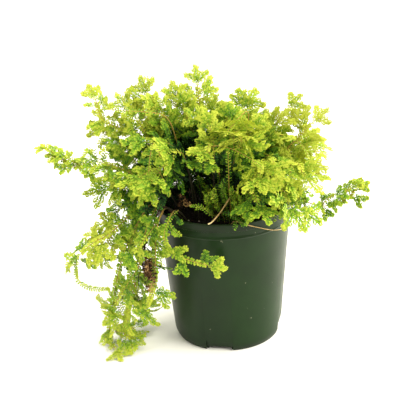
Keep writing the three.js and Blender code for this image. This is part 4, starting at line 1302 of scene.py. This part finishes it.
def dead_material():
    nodes = Nodes("withered")
    grain = nodes.noise(900, 4, 0.6)
    fronds = nodes.ramp(
        nodes.mark("tone"), (0.1, (20, 12, 8)), (0.45, (50, 32, 20)), (0.75, (122, 88, 52)),
        (1.0, (190, 154, 100)))
    bark = nodes.ramp(grain, (0.3, (26, 16, 12)), (0.7, (62, 42, 28)))
    return nodes.finish(
        Base_Color=nodes.mix(nodes.mark("woody"), fronds, bark), Roughness=0.8,
        Normal=nodes.bump(grain, 0.6, 0.0004), Specular_IOR_Level=0.25)


def bare_material():
    nodes = Nodes("bare_stem")
    grain = nodes.noise(700, 4, 0.6)
    bark = nodes.ramp(grain, (0.3, (150, 118, 66)), (0.7, (196, 166, 108)))
    pale = nodes.ramp(nodes.mark("along"), (0.86, 0.0), (1.0, 1.0))
    return nodes.finish(
        Base_Color=nodes.mix(pale, bark, (214, 196, 146)), Roughness=0.6,
        Normal=nodes.bump(grain, 0.5, 0.0004), Specular_IOR_Level=0.35)


def finish_piece(mesh, material, slot, *nodes):
    """Puts a piece's mesh in the scene, in its place."""
    piece = linked(mesh.name, mesh)
    mesh.materials.clear()
    mesh.materials.append(material)
    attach(piece, "root")
    if nodes:
        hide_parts(*nodes)


# ---------------- the whole plant

leaf = leaf_material()
for stem in all_stems():
    foliage = Foliage(1000 + stem.seed)
    grow_stem(foliage, stem)
    for spray in held_sprays(stem):
        grow_spray(foliage, stem, spray)
    infill(foliage, stem)
    grow_side_shoots(foliage, stem)
    finish_piece(foliage.mesh(stem.name + "_foliage"), leaf, "foliage", stem.name)

finish_piece(make_undergrowth(), leaf, "foliage")
finish_piece(make_runners(), leaf, "foliage")
finish_piece(make_pot(), plastic_material(), "pot_plastic", "pot")
finish_piece(make_soil(), soil_material(), "soil", "soil")
dead, bare = dead_material(), bare_material()
finish_piece(make_bare("withered_stem"), dead, "withered_stem", "withered_stem")
finish_piece(make_litter(), dead, "withered_stem")
for node in ("cut_stem", "rhizophore"):
    finish_piece(make_bare(node), bare, "bare_stem", node)

# ---------------- floor, light and camera

FLOOR_REACH, FLOOR_COLOUR = 6, [0.87, 0.87, 0.87, 1]
floor_mesh = bpy.data.meshes.new("floor")
floor_corners = [(x * FLOOR_REACH, y * FLOOR_REACH, 0) for x, y in ((-1, -1), (1, -1), (1, 1), (-1, 1))]
floor_mesh.from_pydata(floor_corners, [], [(0, 1, 2, 3)])
floor = linked("floor", floor_mesh)
floor_mesh.materials.append(Nodes("floor").finish(Base_Color=FLOOR_COLOUR, Roughness=0.7))

# The room is bright behind and above the plant, and darker on the camera's side.
world = bpy.data.worlds.new("studio")
bpy.context.scene.world = world
world.use_nodes = True
sky = world.node_tree
backdrop = sky.nodes["Background"]
direction = sky.nodes.new("ShaderNodeTexCoord")
split = sky.nodes.new("ShaderNodeSeparateXYZ")
shade = sky.nodes.new("ShaderNodeMapRange")
sky.links.new(direction.outputs["Generated"], split.inputs[0])
sky.links.new(split.outputs["Y"], shade.inputs["Value"])
for key, value in {"From Min": -0.9, "From Max": 0.3, "To Min": 0.18, "To Max": 1.1}.items():
    shade.inputs[key].default_value = value
sky.links.new(shade.outputs["Result"], backdrop.inputs["Strength"])
backdrop.inputs["Color"].default_value = (1, 0.965, 0.82, 1)

# Lamps: kind, name, place, height that they point at, power, and the angle or size that softens them.
LAMP_COLOUR = (1, 0.96, 0.84)
LAMPS = [
    ("SUN", "key", (0.8, -0.5, 1.2), 0.1, 2.3, {"angle": math.radians(34)}),
    ("AREA", "rim", (0.75, 0.45, 0.25), 0.1, 9, {"size": 0.5}),
    ("AREA", "left", (-1.1, -0.5, 0.5), 0.1, 4, {"size": 0.8}),
    ("AREA", "right", (1.0, -0.4, 0.3), 0.1, 8, {"size": 0.6}),
    ("AREA", "front", (-0.15, -1.2, 0.35), 0.15, 0.9, {"size": 0.4}),
    ("AREA", "top", (-0.5, 0.2, 1.3), 0.1, 10, {"size": 1.0}),
]
for kind, name, place, height, power, softness in LAMPS:
    light = bpy.data.lights.new(name, kind)
    light.energy, light.color = power, LAMP_COLOUR
    for key, value in softness.items():
        setattr(light, key, value)
    lamp = linked(name, light)
    lamp.location = place
    lamp.rotation_euler = (Vector((0, 0, height)) - Vector(place)).to_track_quat("-Z", "Y").to_euler()

# The photograph's camera: place in millimetres, angles in radians, focal length in pixels.
CAMERA = Values(
    place=(0, -638.866, 363.223), pitch=-0.372014, yaw=-0.02108, roll=-0.0460088,
    focal=799.075)
PHOTO_WIDTH, SENSOR = 416, 36
camera_data = bpy.data.cameras.new("camera")
camera_data.sensor_width = SENSOR
camera_data.lens = SENSOR * CAMERA.focal / PHOTO_WIDTH
camera_data.clip_start, camera_data.clip_end = 0.01, 50
camera = linked("camera", camera_data)
camera.matrix_world = (
    Matrix.Translation([v * MM for v in CAMERA.place])
    @ Matrix.Rotation(-CAMERA.yaw, 4, "Z") @ Matrix.Rotation(math.pi / 2 + CAMERA.pitch, 4, "X")
    @ Matrix.Rotation(CAMERA.roll, 4, "Z"))
bpy.context.scene.camera = camera
view = bpy.context.scene.view_settings
view.view_transform, view.look, view.exposure = "Standard", "None", 0.26

bpy.context.view_layer.update()
